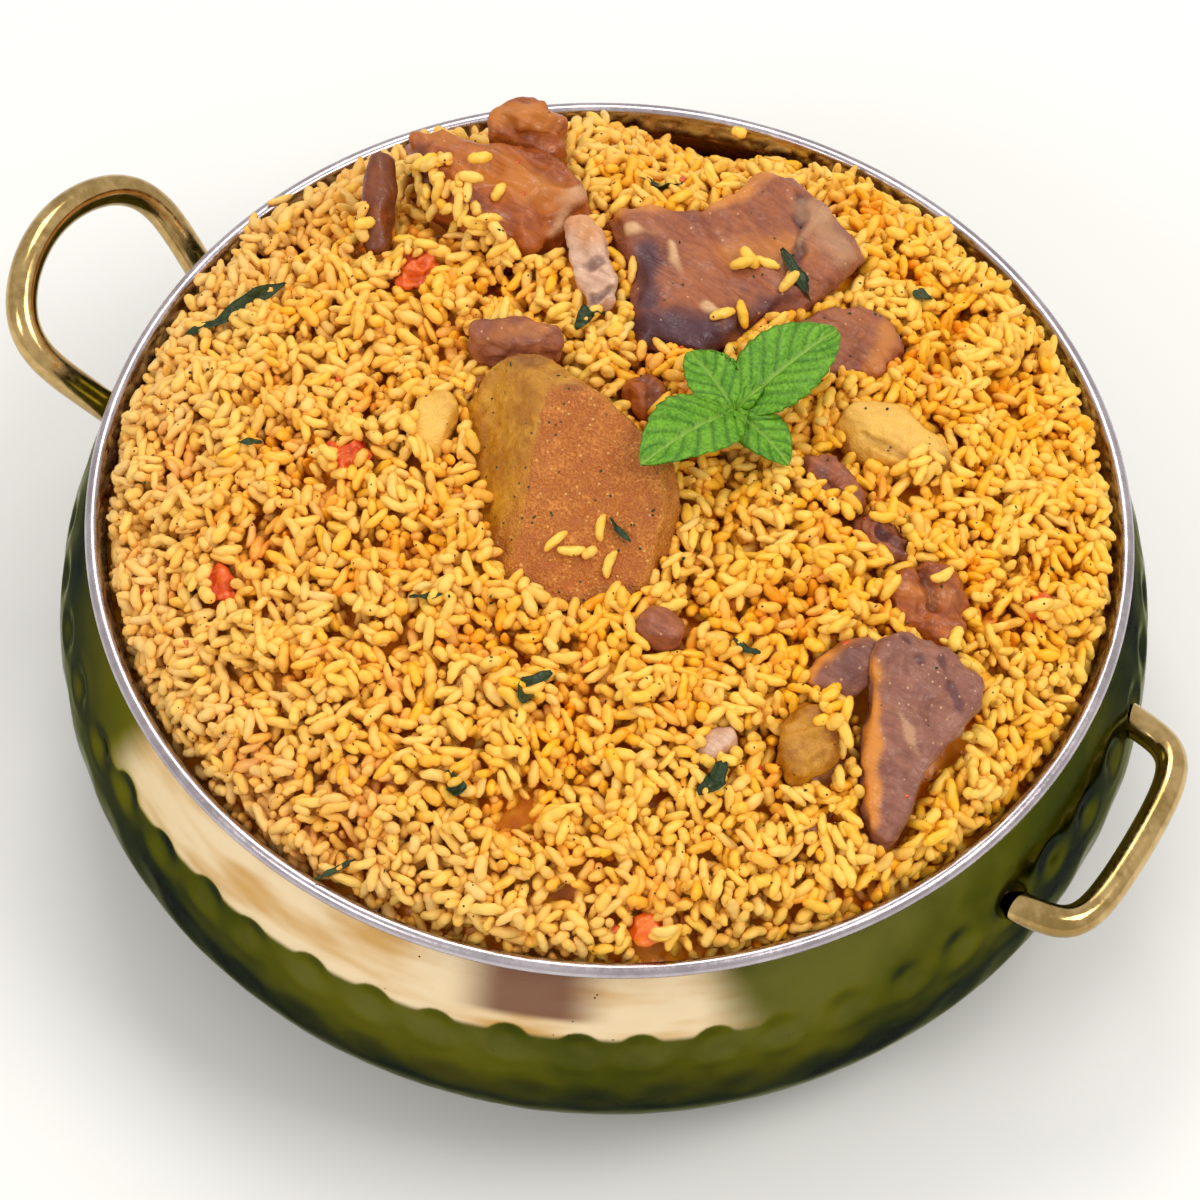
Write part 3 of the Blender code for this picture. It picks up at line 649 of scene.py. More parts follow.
def turned_tree() -> ModifierTree:
    """Tree that turns a profile about Z and hammers round dimples into it."""
    made = ModifierTree("turned_shell", [
        ("Around", "NodeSocketInt"), ("Levels", "NodeSocketInt"),
        ("Dimples", "NodeSocketInt"), ("Dimple Radius", "NodeSocketFloat"),
        ("Dimple Depth", "NodeSocketFloat"), ("Row Radius", "NodeSocketFloat"),
        ("Row Height", "NodeSocketFloat"), ("Low Dimples", "NodeSocketInt"),
        ("Low Radius", "NodeSocketFloat"), ("Low Height", "NodeSocketFloat"),
        ("Low Depth", "NodeSocketFloat"), ("Waviness", "NodeSocketFloat"),
        ("Outer Levels", "NodeSocketInt"), ("Material", "NodeSocketMaterial")])
    sheet, given = made.sheet, made.source.outputs
    grid = sheet.add("GeometryNodeMeshGrid", {
        "Size X": 1.0, "Size Y": 1.0,
        "Vertices X": sheet.plus(given["Around"], 1.0), "Vertices Y": given["Levels"]})
    index = sheet.add("GeometryNodeInputIndex").outputs[0]
    column = sheet.maths("FLOOR", sheet.maths("DIVIDE", index, given["Levels"]))
    level = sheet.minus(index, sheet.times(column, given["Levels"]))
    profile = sheet.add("GeometryNodeSampleIndex", {
        "Geometry": given["Geometry"], "Value": sheet.add("GeometryNodeInputPosition").outputs[0],
        "Index": level}, data_type="FLOAT_VECTOR", domain="POINT")
    turn = sheet.maths("DIVIDE", sheet.times(column, math.tau), given["Around"])
    placed = sheet.add("ShaderNodeVectorRotate", {"Vector": profile.outputs[0], "Angle": turn},
                       rotation_type="Z_AXIS")
    shell = sheet.add("GeometryNodeSetPosition", {"Geometry": grid.outputs[0],
                                                  "Position": placed.outputs[0]})
    outer = sheet.maths("LESS_THAN", level, given["Outer Levels"])
    flagged = sheet.add("GeometryNodeStoreNamedAttribute", {
        "Geometry": shell.outputs[0], "Name": "outer", "Value": outer},
        data_type="FLOAT", domain="POINT")
    shell = sheet.add("GeometryNodeMergeByDistance", {"Geometry": flagged.outputs[0],
                                                      "Distance": 0.01 * MM})

    def row(count: object, radius: object, height: object, seed: int) -> bpy.types.NodeSocket:
        """Return the distance to the nearest of a ring of hammer marks, placed by hand."""
        ring = sheet.add("GeometryNodeMeshCircle", {"Vertices": count, "Radius": radius})
        at = sheet.add("ShaderNodeCombineXYZ", {2: height}).outputs[0]
        lifted = sheet.add("GeometryNodeTransform", {"Geometry": ring.outputs[0],
                                                     "Translation": at})
        drift = sheet.add("FunctionNodeRandomValue", {
            0: (-1.0 * MM, -1.0 * MM, -0.7 * MM), 1: (1.0 * MM, 1.0 * MM, 0.7 * MM),
            "Seed": seed}, data_type="FLOAT_VECTOR")
        loose = sheet.add("GeometryNodeSetPosition", {"Geometry": lifted.outputs[0],
                                                      "Offset": drift.outputs[0]})
        near = sheet.add("GeometryNodeProximity", {0: loose.outputs[0]}, target_element="POINTS")
        return near.outputs["Distance"]

    main = row(given["Dimples"], given["Row Radius"], given["Row Height"], 3)
    low = row(given["Low Dimples"], given["Low Radius"], given["Low Height"], 8)
    lower = row(given["Low Dimples"], sheet.times(given["Low Radius"], 0.93),
                sheet.times(given["Low Height"], 0.55), 12)

    def dent(away: object, depth: object, reach: float) -> bpy.types.NodeSocket:
        """Return how far a mark pushes the wall in."""
        share = sheet.maths("DIVIDE", away, sheet.times(given["Dimple Radius"], reach))
        bowl = sheet.ease(share, 0.0, 1.0, (1.0, 0.0))
        lip = sheet.times(sheet.ease(share, 0.7, 1.1), sheet.ease(share, 1.1, 1.6, (1.0, 0.0)))
        bowl = sheet.minus(bowl, sheet.times(lip, 0.12))
        return sheet.times(bowl, depth)

    push = sheet.plus(dent(main, given["Dimple Depth"], 1.0),
                       sheet.plus(dent(low, given["Low Depth"], 1.25),
                                   dent(lower, given["Low Depth"], 1.25)))
    where = sheet.add("GeometryNodeInputPosition").outputs[0]
    wave = sheet.add("ShaderNodeTexNoise", {"Vector": where, "Scale": 55.0, "Detail": 1.0})
    push = sheet.plus(push, sheet.times(given["Waviness"],
                                                 sheet.minus(wave.outputs[0], 0.5)))
    inwards = sheet.add("ShaderNodeVectorMath", {
        0: sheet.add("GeometryNodeInputNormal").outputs[0],
        "Scale": sheet.times(push, -1.0)}, operation="SCALE")
    height = sheet.add("ShaderNodeSeparateXYZ", {0: where}).outputs[2]
    flag = sheet.add("GeometryNodeInputNamedAttribute", {"Name": "outer"}, data_type="FLOAT")
    outside = sheet.times(flag.outputs[0], sheet.ease(height, 1.5 * MM, 9 * MM))
    offset = sheet.add("ShaderNodeVectorMath", {0: inwards.outputs[0], "Scale": outside},
                       operation="SCALE")
    marked = sheet.add("GeometryNodeStoreNamedAttribute", {
        "Geometry": shell.outputs[0], "Name": "dimple_reach", "Value": main},
        data_type="FLOAT", domain="POINT")
    pressed = sheet.add("GeometryNodeSetPosition", {"Geometry": marked.outputs[0],
                                                    "Offset": offset.outputs[0]})
    made.finish(pressed.outputs[0])
    return made


def rod_tree() -> ModifierTree:
    """Tree that sweeps a round rod along a path, thicker where its girth says."""
    made = ModifierTree("bent_rod", [("Rod Radius", "NodeSocketFloat"), ("Sides", "NodeSocketInt"),
                                     ("Material", "NodeSocketMaterial")])
    sheet, given = made.sheet, made.source.outputs
    path = sheet.add("GeometryNodeMeshToCurve", {0: given["Geometry"]})
    girth = sheet.add("GeometryNodeInputNamedAttribute", {"Name": "girth"}, data_type="FLOAT")
    sized = sheet.add("GeometryNodeSetCurveRadius", {"Curve": path.outputs[0],
                                                     "Radius": girth.outputs[0]})
    circle = sheet.add("GeometryNodeCurvePrimitiveCircle", {"Resolution": given["Sides"],
                                                            "Radius": given["Rod Radius"]})
    rod = sheet.add("GeometryNodeCurveToMesh", {"Curve": sized.outputs[0],
                                                "Profile Curve": circle.outputs[0],
                                                "Fill Caps": True})
    made.finish(rod.outputs[0])
    return made


def scatter_tree() -> ModifierTree:
    """Tree that puts one shape on every point, turned and stretched as the point says."""
    made = ModifierTree("scattered", [("Shape", "NodeSocketObject"),
                                      ("Material", "NodeSocketMaterial")])
    sheet, given = made.sheet, made.source.outputs
    shape = sheet.add("GeometryNodeObjectInfo", {"Object": given["Shape"]})
    turn = sheet.add("GeometryNodeInputNamedAttribute", {"Name": "turn"},
                     data_type="FLOAT_VECTOR").outputs[0]
    turn = sheet.add("FunctionNodeEulerToRotation", {0: turn}).outputs[0]
    stretch = sheet.add("GeometryNodeInputNamedAttribute", {"Name": "stretch"},
                        data_type="FLOAT_VECTOR").outputs[0]
    spread = sheet.add("GeometryNodeInstanceOnPoints", {
        "Points": given["Geometry"], "Instance": shape.outputs["Geometry"],
        "Rotation": turn, "Scale": stretch})
    made.finish(spread.outputs[0])
    return made


def scatter(name: str, shape: bpy.types.Mesh, finish: Finish, places: np.ndarray,
            turns: np.ndarray, stretches: np.ndarray, extras: dict[str, np.ndarray]
            ) -> bpy.types.Object:
    """Make one piece of many copies of a shape.

    Args:
        name: Name of the piece.
        shape: Mesh of one copy, around the origin.
        finish: Finish of the piece.
        places: Centre of each copy.
        turns: Euler angles of each copy.
        stretches: Scale of each copy along its own axes.
        extras: Further numbers for each copy, which its finish reads.

    Returns:
        The piece.
    """
    model = new_object("shape_" + name, shape)
    points = bpy.data.meshes.new("points_" + name)
    points.vertices.add(len(places))
    points.vertices.foreach_set("co", np.asarray(places, np.float32).ravel())
    set_attribute(points, "turn", turns, "FLOAT_VECTOR")
    set_attribute(points, "stretch", stretches, "FLOAT_VECTOR")
    for label, values in extras.items():
        set_attribute(points, label, values)
    tree = TREES.setdefault("scatter", None) or scatter_tree()
    TREES["scatter"] = tree
    mesh = tree.run(points, {"Shape": model, "Material": finish.material()})
    bpy.data.objects.remove(model, do_unlink=True)
    for label in ("turn", "stretch"):
        if label in mesh.attributes:
            mesh.attributes.remove(mesh.attributes[label])
    mesh.name = name
    return new_object(name, mesh)


TREES: dict[str, ModifierTree | None] = {}


def hand_in(piece: bpy.types.Object, slot: Slot, *nodes: str) -> bpy.types.Object:
    """Ride a finished piece on the pot, hide the CAD nodes that it stands for, and log its
    triangles.
    """
    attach(piece, "root")
    if nodes:
        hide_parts(*nodes)
    triangles = sum(len(face.vertices) - 2 for face in piece.data.polygons)
    LOG.info("%s: %d triangles", piece.name, triangles)
    return piece


# ---------------------------------------------------------------- the pot

@dataclass
class Pot:
    """Hammered brass shell, steel liner with a rolled rim, and two bent rod handles."""
    base_radius: float = 60 * MM
    belly_radius: float = 106.5 * MM
    belly_height: float = 39 * MM
    neck_radius: float = 98 * MM
    neck_height: float = 70.3 * MM
    wall: float = 1.0 * MM
    gap: float = 0.3 * MM
    rim_height: float = 72.5 * MM
    rim_radius: float = 98.55 * MM
    bead_radius: float = 1.45 * MM
    rod_radius: float = 3.1 * MM
    around: int = 510
    dimples: int = 51
    dimple_radius: float = 5.2 * MM
    dimple_depth: float = 0.93 * MM
    dimple_height: float = 53.5 * MM

    def wall_curve(self, inset: float, belly_steps: int, shoulder_steps: int
                   ) -> list[tuple[float, float]]:
        """Return the side from the base's edge to the neck, moved inwards by inset."""
        swell = self.belly_radius - self.base_radius
        taper = self.belly_radius - self.neck_radius
        shoulder = self.neck_height - self.belly_height
        curve = []
        for step in range(belly_steps + 1):
            turn = math.pi / 2 * step / belly_steps
            out = Vector((math.sin(turn) / swell, -math.cos(turn) / self.belly_height)).normalized()
            curve.append((self.base_radius + swell * math.sin(turn) - inset * out.x,
                          self.belly_height * (1 - math.cos(turn)) - inset * out.y))
        for step in range(1, shoulder_steps + 1):
            rise = step / shoulder_steps
            out = Vector((shoulder, 2 * taper * rise)).normalized()
            curve.append((self.belly_radius - taper * rise ** 2 - inset * out.x,
                          self.belly_height + shoulder * rise - inset * out.y))
        return curve

    def turn_profile(self, name: str, profile: list[tuple[float, float]], finish: Finish,
                     hammered: int = 0) -> bpy.types.Mesh:
        """Turn a closed profile about Z; its first points, as many as hammered, get the marks."""
        points = [(radius, 0.0, height) for radius, height in profile]
        edges = [(at, at + 1) for at in range(len(points) - 1)]
        source = mesh_from("profile_" + name, points, [], edges)
        mark = 1.0 if hammered else 0.0
        mesh = TREES["turned"].run(source, {
            "Around": self.around if hammered else 300, "Levels": len(points),
            "Dimples": self.dimples, "Dimple Radius": self.dimple_radius,
            "Dimple Depth": self.dimple_depth * mark,
            "Row Radius": self.belly_radius - 1.8 * MM, "Row Height": self.dimple_height,
            "Low Dimples": 47, "Low Radius": self.belly_radius, "Low Height": 37 * MM,
            "Low Depth": 0.35 * MM * mark, "Waviness": 0.5 * MM * mark,
            "Outer Levels": hammered, "Material": finish.material()})
        face_outwards(mesh, 0.005 * MM)
        mesh.name = name
        return mesh

    def brass_shell(self) -> bpy.types.Object:
        """Make the outer bowl, hammered outside and plain inside."""
        outside = self.wall_curve(0, 46, 34)
        inside = self.wall_curve(self.wall, 8, 5)
        profile = [(0.0, 0.0), (self.base_radius * 0.5, 0.0)] + outside
        hammered = len(profile)
        profile += inside[::-1] + [(0.0, self.wall)]
        mesh = self.turn_profile("brass_bowl", profile, BRASS_SHELL, hammered)
        return hand_in(new_object("brass_bowl", mesh), Slot.BRASS, "brass_shell")

    def steel_liner(self) -> bpy.types.Object:
        """Make the liner, with its rim rolled outwards over the edge of the brass."""
        outside = self.wall_curve(self.wall + self.gap, 6, 4)
        inside = self.wall_curve(2 * self.wall + self.gap, 12, 16)
        bead_steps = 20
        bead = []
        for step in range(bead_steps + 1):
            turn = math.radians(-130 + 300 * step / bead_steps)
            bead.append((self.rim_radius + self.bead_radius * math.cos(turn),
                         self.rim_height + self.bead_radius * math.sin(turn)))
        profile = [(0.0, self.wall + self.gap)] + outside + bead + inside[::-1]
        profile.append((0.0, 2 * self.wall + self.gap))
        mesh = self.turn_profile("steel_rim_and_liner", profile, STEEL)
        return hand_in(new_object("steel_rim_and_liner", mesh), Slot.STEEL, "steel_liner")

    def rod_path(self, start: tuple[float, float], foot_spread: float, reach: float, bow: float,
                 spread: float, tilt: float, side: int) -> list[Vector]:
        """Return the centre line of a handle: two legs out of the wall and a bowed bar.

        Args:
            start: Radius and height where the legs enter the wall.
            foot_spread: Half the distance between the legs at the wall.
            reach: How far the bar stands out.
            bow: How far the bar's middle runs past its ends.
            spread: Half the distance between the legs at the bar.
            tilt: Rise from level, in radians.
            side: +1 or -1 along X.

        Returns:
            Points of the line, closely spaced.
        """
        leg_steps, bar_steps, passes = 5, 9, 3
        flat = []
        for step in range(leg_steps):
            part = step / leg_steps
            flat.append(Vector(((reach - bow) * part, foot_spread + (spread - foot_spread) * part)))
        for step in range(bar_steps):
            along = 1 - 2 * step / (bar_steps - 1)
            flat.append(Vector((reach - bow * along ** 2, spread * along)))
        flat += [Vector((point.x, -point.y)) for point in flat[leg_steps - 1::-1]]
        for _ in range(passes):
            inner = [(a + 2 * b + c) / 4 for a, b, c in zip(flat, flat[1:], flat[2:])]
            flat = [flat[0]] + inner + [flat[-1]]
        for _ in range(passes):
            finer = [flat[0]]
            for a, b in zip(flat, flat[1:]):
                finer += [a.lerp(b, 0.25), a.lerp(b, 0.75)]
            flat = finer + [flat[-1]]
        return [Vector((side * (start[0] + p.x * math.cos(tilt)), side * p.y,
                        start[1] + p.x * math.sin(tilt))) for p in flat]

    def handle(self, node: str, **bend: object) -> bpy.types.Object:
        """Make a rod handle, thicker at its feet, cut to the curve of the wall."""
        line = self.rod_path(**bend)
        source = mesh_from("path_" + node, line, [], [(a, a + 1) for a in range(len(line) - 1)])
        lengths = np.cumsum([0.0] + [(b - a).length for a, b in zip(line, line[1:])])
        from_foot = np.minimum(lengths, lengths[-1] - lengths)
        foot = 8 * MM
        girth = 1 + 0.16 * np.exp(-(from_foot / foot) ** 2)
        set_attribute(source, "girth", girth)
        mesh = TREES["rod"].run(source, {"Rod Radius": self.rod_radius, "Sides": 32,
                                         "Material": BRASS_ROD.material()})
        face_outwards(mesh)
        rod = new_object(node + "_uncut", mesh)
        wall = [(0.0, -self.gap)] + self.wall_curve(-0.05 * MM, 16, 10) + [(0.0, self.neck_height)]
        envelope = new_object("envelope_" + node,
                              self.turn_profile("envelope", wall, BRASS_ROD))
        cut = rod.modifiers.new("foot", "BOOLEAN")
        cut.operation, cut.solver, cut.object = "DIFFERENCE", "EXACT", envelope
        mesh = settle_mesh(rod)
        bpy.data.objects.remove(envelope, do_unlink=True)
        mesh.set_sharp_from_angle(angle=math.radians(40))
        name = "rod_" + node
        mesh.name = name
        made = new_object(name, mesh, BRASS_ROD)
        return hand_in(made, Slot.BRASS, node)

    def build(self) -> None:
        """Make the bowl, the liner and both handles."""
        TREES["turned"] = turned_tree()
        TREES["rod"] = rod_tree()
        self.brass_shell()
        self.steel_liner()
        self.handle("handle_right", start=(97.5 * MM, 51.1 * MM), foot_spread=24.4 * MM,
                    reach=18.3 * MM, bow=1.3 * MM, spread=22.5 * MM, tilt=math.radians(-5), side=1)
        self.handle("handle_left", start=(100 * MM, 50.6 * MM), foot_spread=17.2 * MM,
                    reach=38.7 * MM, bow=10.4 * MM, spread=23.5 * MM, tilt=math.radians(42),
                    side=-1)


# ---------------------------------------------------------------- pieces of food

@dataclass(frozen=True)
class Stroke:
    """A mark along a line on a piece: it colours an attribute and may press or raise it."""
    mark: str
    start: Place
    end: Place
    width: float
    strength: float = 1.0
    rise: float = 0.0


@dataclass(frozen=True)
class Relief:
    """Unevenness of a surface: noise of a size, drawn out along a direction, in mm."""
    amount: float
    size: float
    along: Place | None = None
    stretch: float = 4.0
    ridged: bool = False

    def heights(self, points: np.ndarray, seed: float) -> np.ndarray:
        """Return how far each point moves out, in metres."""
        spots = points / (self.size * MM)
        if self.along is not None:
            axis = np.array(self.along) / np.linalg.norm(self.along)
            part = spots @ axis
            spots = spots - np.outer(part * (1 - 1 / self.stretch), axis)
        values = np.array([noise.noise(Vector(spot) + Vector((seed, seed, seed)))
                           for spot in spots])
        if self.ridged:
            values = 0.5 - 2 * np.abs(values)
        return values * self.amount * MM


@dataclass(frozen=True)
class Facet:
    """A flat cut: everything past a plane is pressed back onto it, with a softened edge."""
    normal: Place
    depth: float = 0.0
    through: Place | None = None
    soft: float = 0.35

    def press(self, points: np.ndarray) -> np.ndarray:
        """Press flat what is past a place, or less than depth mm from the far side."""
        normal = np.array(self.normal) / np.linalg.norm(self.normal)
        reach = points @ normal
        most = reach.max() if self.through is None else np.array(self.through) @ normal * MM
        past = (reach - most + self.depth * MM) / (self.soft * MM)
        kept = -np.logaddexp(0, -past)
        return points + np.outer((kept - past) * self.soft * MM, normal)


@dataclass
class FoodPiece:
    """A piece of meat, potato or tomato, given its surface from its plain CAD solid."""
    node: str
    finish: Finish
    reliefs: tuple[Relief, ...] = ()
    strokes: tuple[Stroke, ...] = ()
    facets: tuple[Facet, ...] = ()
    voxel: float = 0.55 * MM
    smoothing: int = 6
    swell: float = 0.45 * MM
    marks: tuple[str, ...] = ("fat", "dark", "pale")

    def fine_mesh(self) -> bpy.types.Mesh:
        """Return the node's shape in even, small faces with its facets smoothed away."""
        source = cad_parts[self.node].data.copy()
        face_outwards(source, 0.001 * MM)
        item = new_object("work_" + self.node, source)
        voxels = item.modifiers.new("even", "REMESH")
        voxels.mode = "VOXEL"
        voxels.voxel_size = self.voxel
        smooth = item.modifiers.new("soft", "SMOOTH")
        smooth.factor = 0.5
        smooth.iterations = self.smoothing
        return settle_mesh(item)

    def build(self) -> bpy.types.Object:
        """Make the piece, mark its strokes and dress it."""
        mesh = self.fine_mesh()
        points = coordinates(mesh)
        for facet in self.facets:
            points = facet.press(points)
        mesh.vertices.foreach_set("co", points.astype(np.float32).ravel())
        mesh.update()
        normals = np.zeros(len(points) * 3, np.float32)
        mesh.vertex_normals.foreach_get("vector", normals)
        normals = normals.reshape(-1, 3)
        seed = sum(ord(letter) for letter in self.node) % 97
        rise = np.full(len(points), self.swell)
        for relief in self.reliefs:
            rise += relief.heights(points, seed)
        marks = {name: np.zeros(len(points)) for name in self.marks}
        wobble = Relief(1.4, 3.5).heights(points, seed + 5)
        for stroke in self.strokes:
            share = self.stroke_share(stroke, points, wobble)
            marks[stroke.mark] = np.maximum(marks[stroke.mark], share * stroke.strength)
            rise += share * stroke.rise * MM
        self.extra_marks(points, normals, marks)
        points += normals * rise[:, None]
        mesh.vertices.foreach_set("co", points.astype(np.float32).ravel())
        for name, values in marks.items():
            set_attribute(mesh, name, values)
        mesh.name = "food_" + self.node
        mesh.update()
        made = new_object("food_" + self.node, mesh, self.finish)
        return hand_in(made, self.finish.slot, self.node)

    def extra_marks(self, points: np.ndarray, normals: np.ndarray,
                    marks: dict[str, np.ndarray]) -> None:
        """Change the marks by a rule of the piece's own; most pieces have none."""

    @staticmethod
    def stroke_share(stroke: Stroke, points: np.ndarray, wobble: np.ndarray) -> np.ndarray:
        """Return 1 on the stroke's line, falling to 0 at its width, with an uneven edge."""
        start, end = np.array(stroke.start) * MM, np.array(stroke.end) * MM
        run = end - start
        part = np.clip(((points - start) @ run) / max(run @ run, 1e-12), 0, 1)
        away = np.linalg.norm(points - start - np.outer(part, run), axis=1) + wobble
        share = np.clip(1.35 - away / (stroke.width * MM), 0, 1)
        return share * share * (3 - 2 * share)


@dataclass
class LargePotato(FoodPiece):
    """The biggest potato: browned on the face that leans to the front, yellow beside it."""
    lean: Place = (0.115, -0.413, 0.903)

    def extra_marks(self, points: np.ndarray, normals: np.ndarray,
                    marks: dict[str, np.ndarray]) -> None:
        """Brown the leaning face and the far sides, and leave a thin pale edge between."""
        facing = normals @ np.array(self.lean)
        ragged = Relief(0.05, 3.0).heights(points, 4) / MM
        right = np.clip((points[:, 0] + 12 * MM) / (4 * MM), 0, 1)
        marks["crust"] = np.clip(np.maximum((facing - 0.88 + ragged) / 0.07, 0.75 * right), 0, 1)
        marks["pale"] = np.maximum(marks["pale"],
                                   0.4 * np.exp(-((facing - 0.84) / 0.08) ** 2))


POTATO_MARKS = ("crust", "dark", "pale")

MEAT_REAR_RIGHT = FoodPiece(
    "meat_rear_right", LEAN, smoothing=3, swell=0.25 * MM,
    reliefs=(Relief(1.2, 8), Relief(0.6, 2.0, along=(1, -0.5, 0), stretch=6),
             Relief(1.2, 6, along=(1, -0.5, 0), stretch=2.2, ridged=True)),
    strokes=(
        Stroke("fat", (-28, 47, 97), (-10, 62, 97), 2.6, 0.9, 0.3),
        Stroke("fat", (-10, 62, 97), (-5, 75, 96), 2.4, 0.9, 0.2),
        Stroke("fat", (-2, 50, 97), (6, 58, 96), 4.0, 0.5),
        Stroke("dark", (-17, 42, 98), (-11, 30, 98), 3.2, 0.95, -0.5),
        Stroke("dark", (-9, 26, 97), (4, 31, 97), 5.0, 1.0, 0.6),
        Stroke("dark", (4, 31, 97), (12, 45, 96), 3.6, 0.9, -0.4),
        Stroke("pale", (-24, 44, 98), (-15, 46, 98), 1.0, 0.9, 0.4),
        Stroke("pale", (-15, 46, 98), (-4, 36, 98), 0.8, 0.9, 0.4),
        Stroke("pale", (-4, 36, 98), (3, 36, 97), 0.8, 0.8, 0.3),
        Stroke("pale", (4, 68, 96), (15, 62, 95), 3.0, 0.35, 0.4),
        Stroke("pale", (8, 72, 95), (6, 60, 96), 1.2, 0.5, -0.5),
        Stroke("dark", (0, 74, 96), (10, 52, 96), 1.4, 0.8, -1.1),
    ))

MEAT_REAR_LEFT = FoodPiece(
    "meat_rear_left", BROWNED, smoothing=3, swell=0.2 * MM,
    reliefs=(Relief(2.4, 9), Relief(0.7, 2.6, along=(1, 0.3, 0), stretch=3),
             Relief(1.5, 6.5, ridged=True)),
    strokes=(
        Stroke("dark", (-60, 50, 97), (-50, 50, 99), 1.2, 0.9, -1.5),
        Stroke("dark", (-50, 50, 99), (-42, 55, 97), 1.2, 0.9, -1.4),
        Stroke("fat", (-56, 41, 98), (-40, 44, 97), 4.5, 0.65, 0.4),
        Stroke("fat", (-70, 44, 99), (-62, 44, 98), 3.0, 0.5),
        Stroke("dark", (-66, 40, 97), (-60, 33, 95), 2.0, 0.7, -0.9),
        Stroke("pale", (-36, 46, 96), (-34, 38, 95), 1.8, 0.5, 0.3),
    ))

MEAT_LOWER_RIGHT = FoodPiece(
    "meat_lower_right", LEAN_CROSS, smoothing=2, swell=0.25 * MM,
    reliefs=(Relief(0.7, 7), Relief(0.5, 1.6, along=(0.4, -1, -0.5), stretch=5),
             Relief(0.5, 5, ridged=True)),
    strokes=(
        Stroke("fat", (62, -14, 97), (68, -24, 90), 1.7, 1.0, 0.2),
        Stroke("fat", (68, -24, 90), (78, -42, 79), 1.7, 1.0, 0.2),
        Stroke("dark", (66, -9, 96), (76, -14, 92), 0.8, 0.8, -0.5),
        Stroke("dark", (74, -9, 93), (84, -16, 88), 0.7, 0.7, -0.4),
        Stroke("pale", (70, -20, 91), (80, -26, 86), 0.6, 0.45, 0.2),
    ))

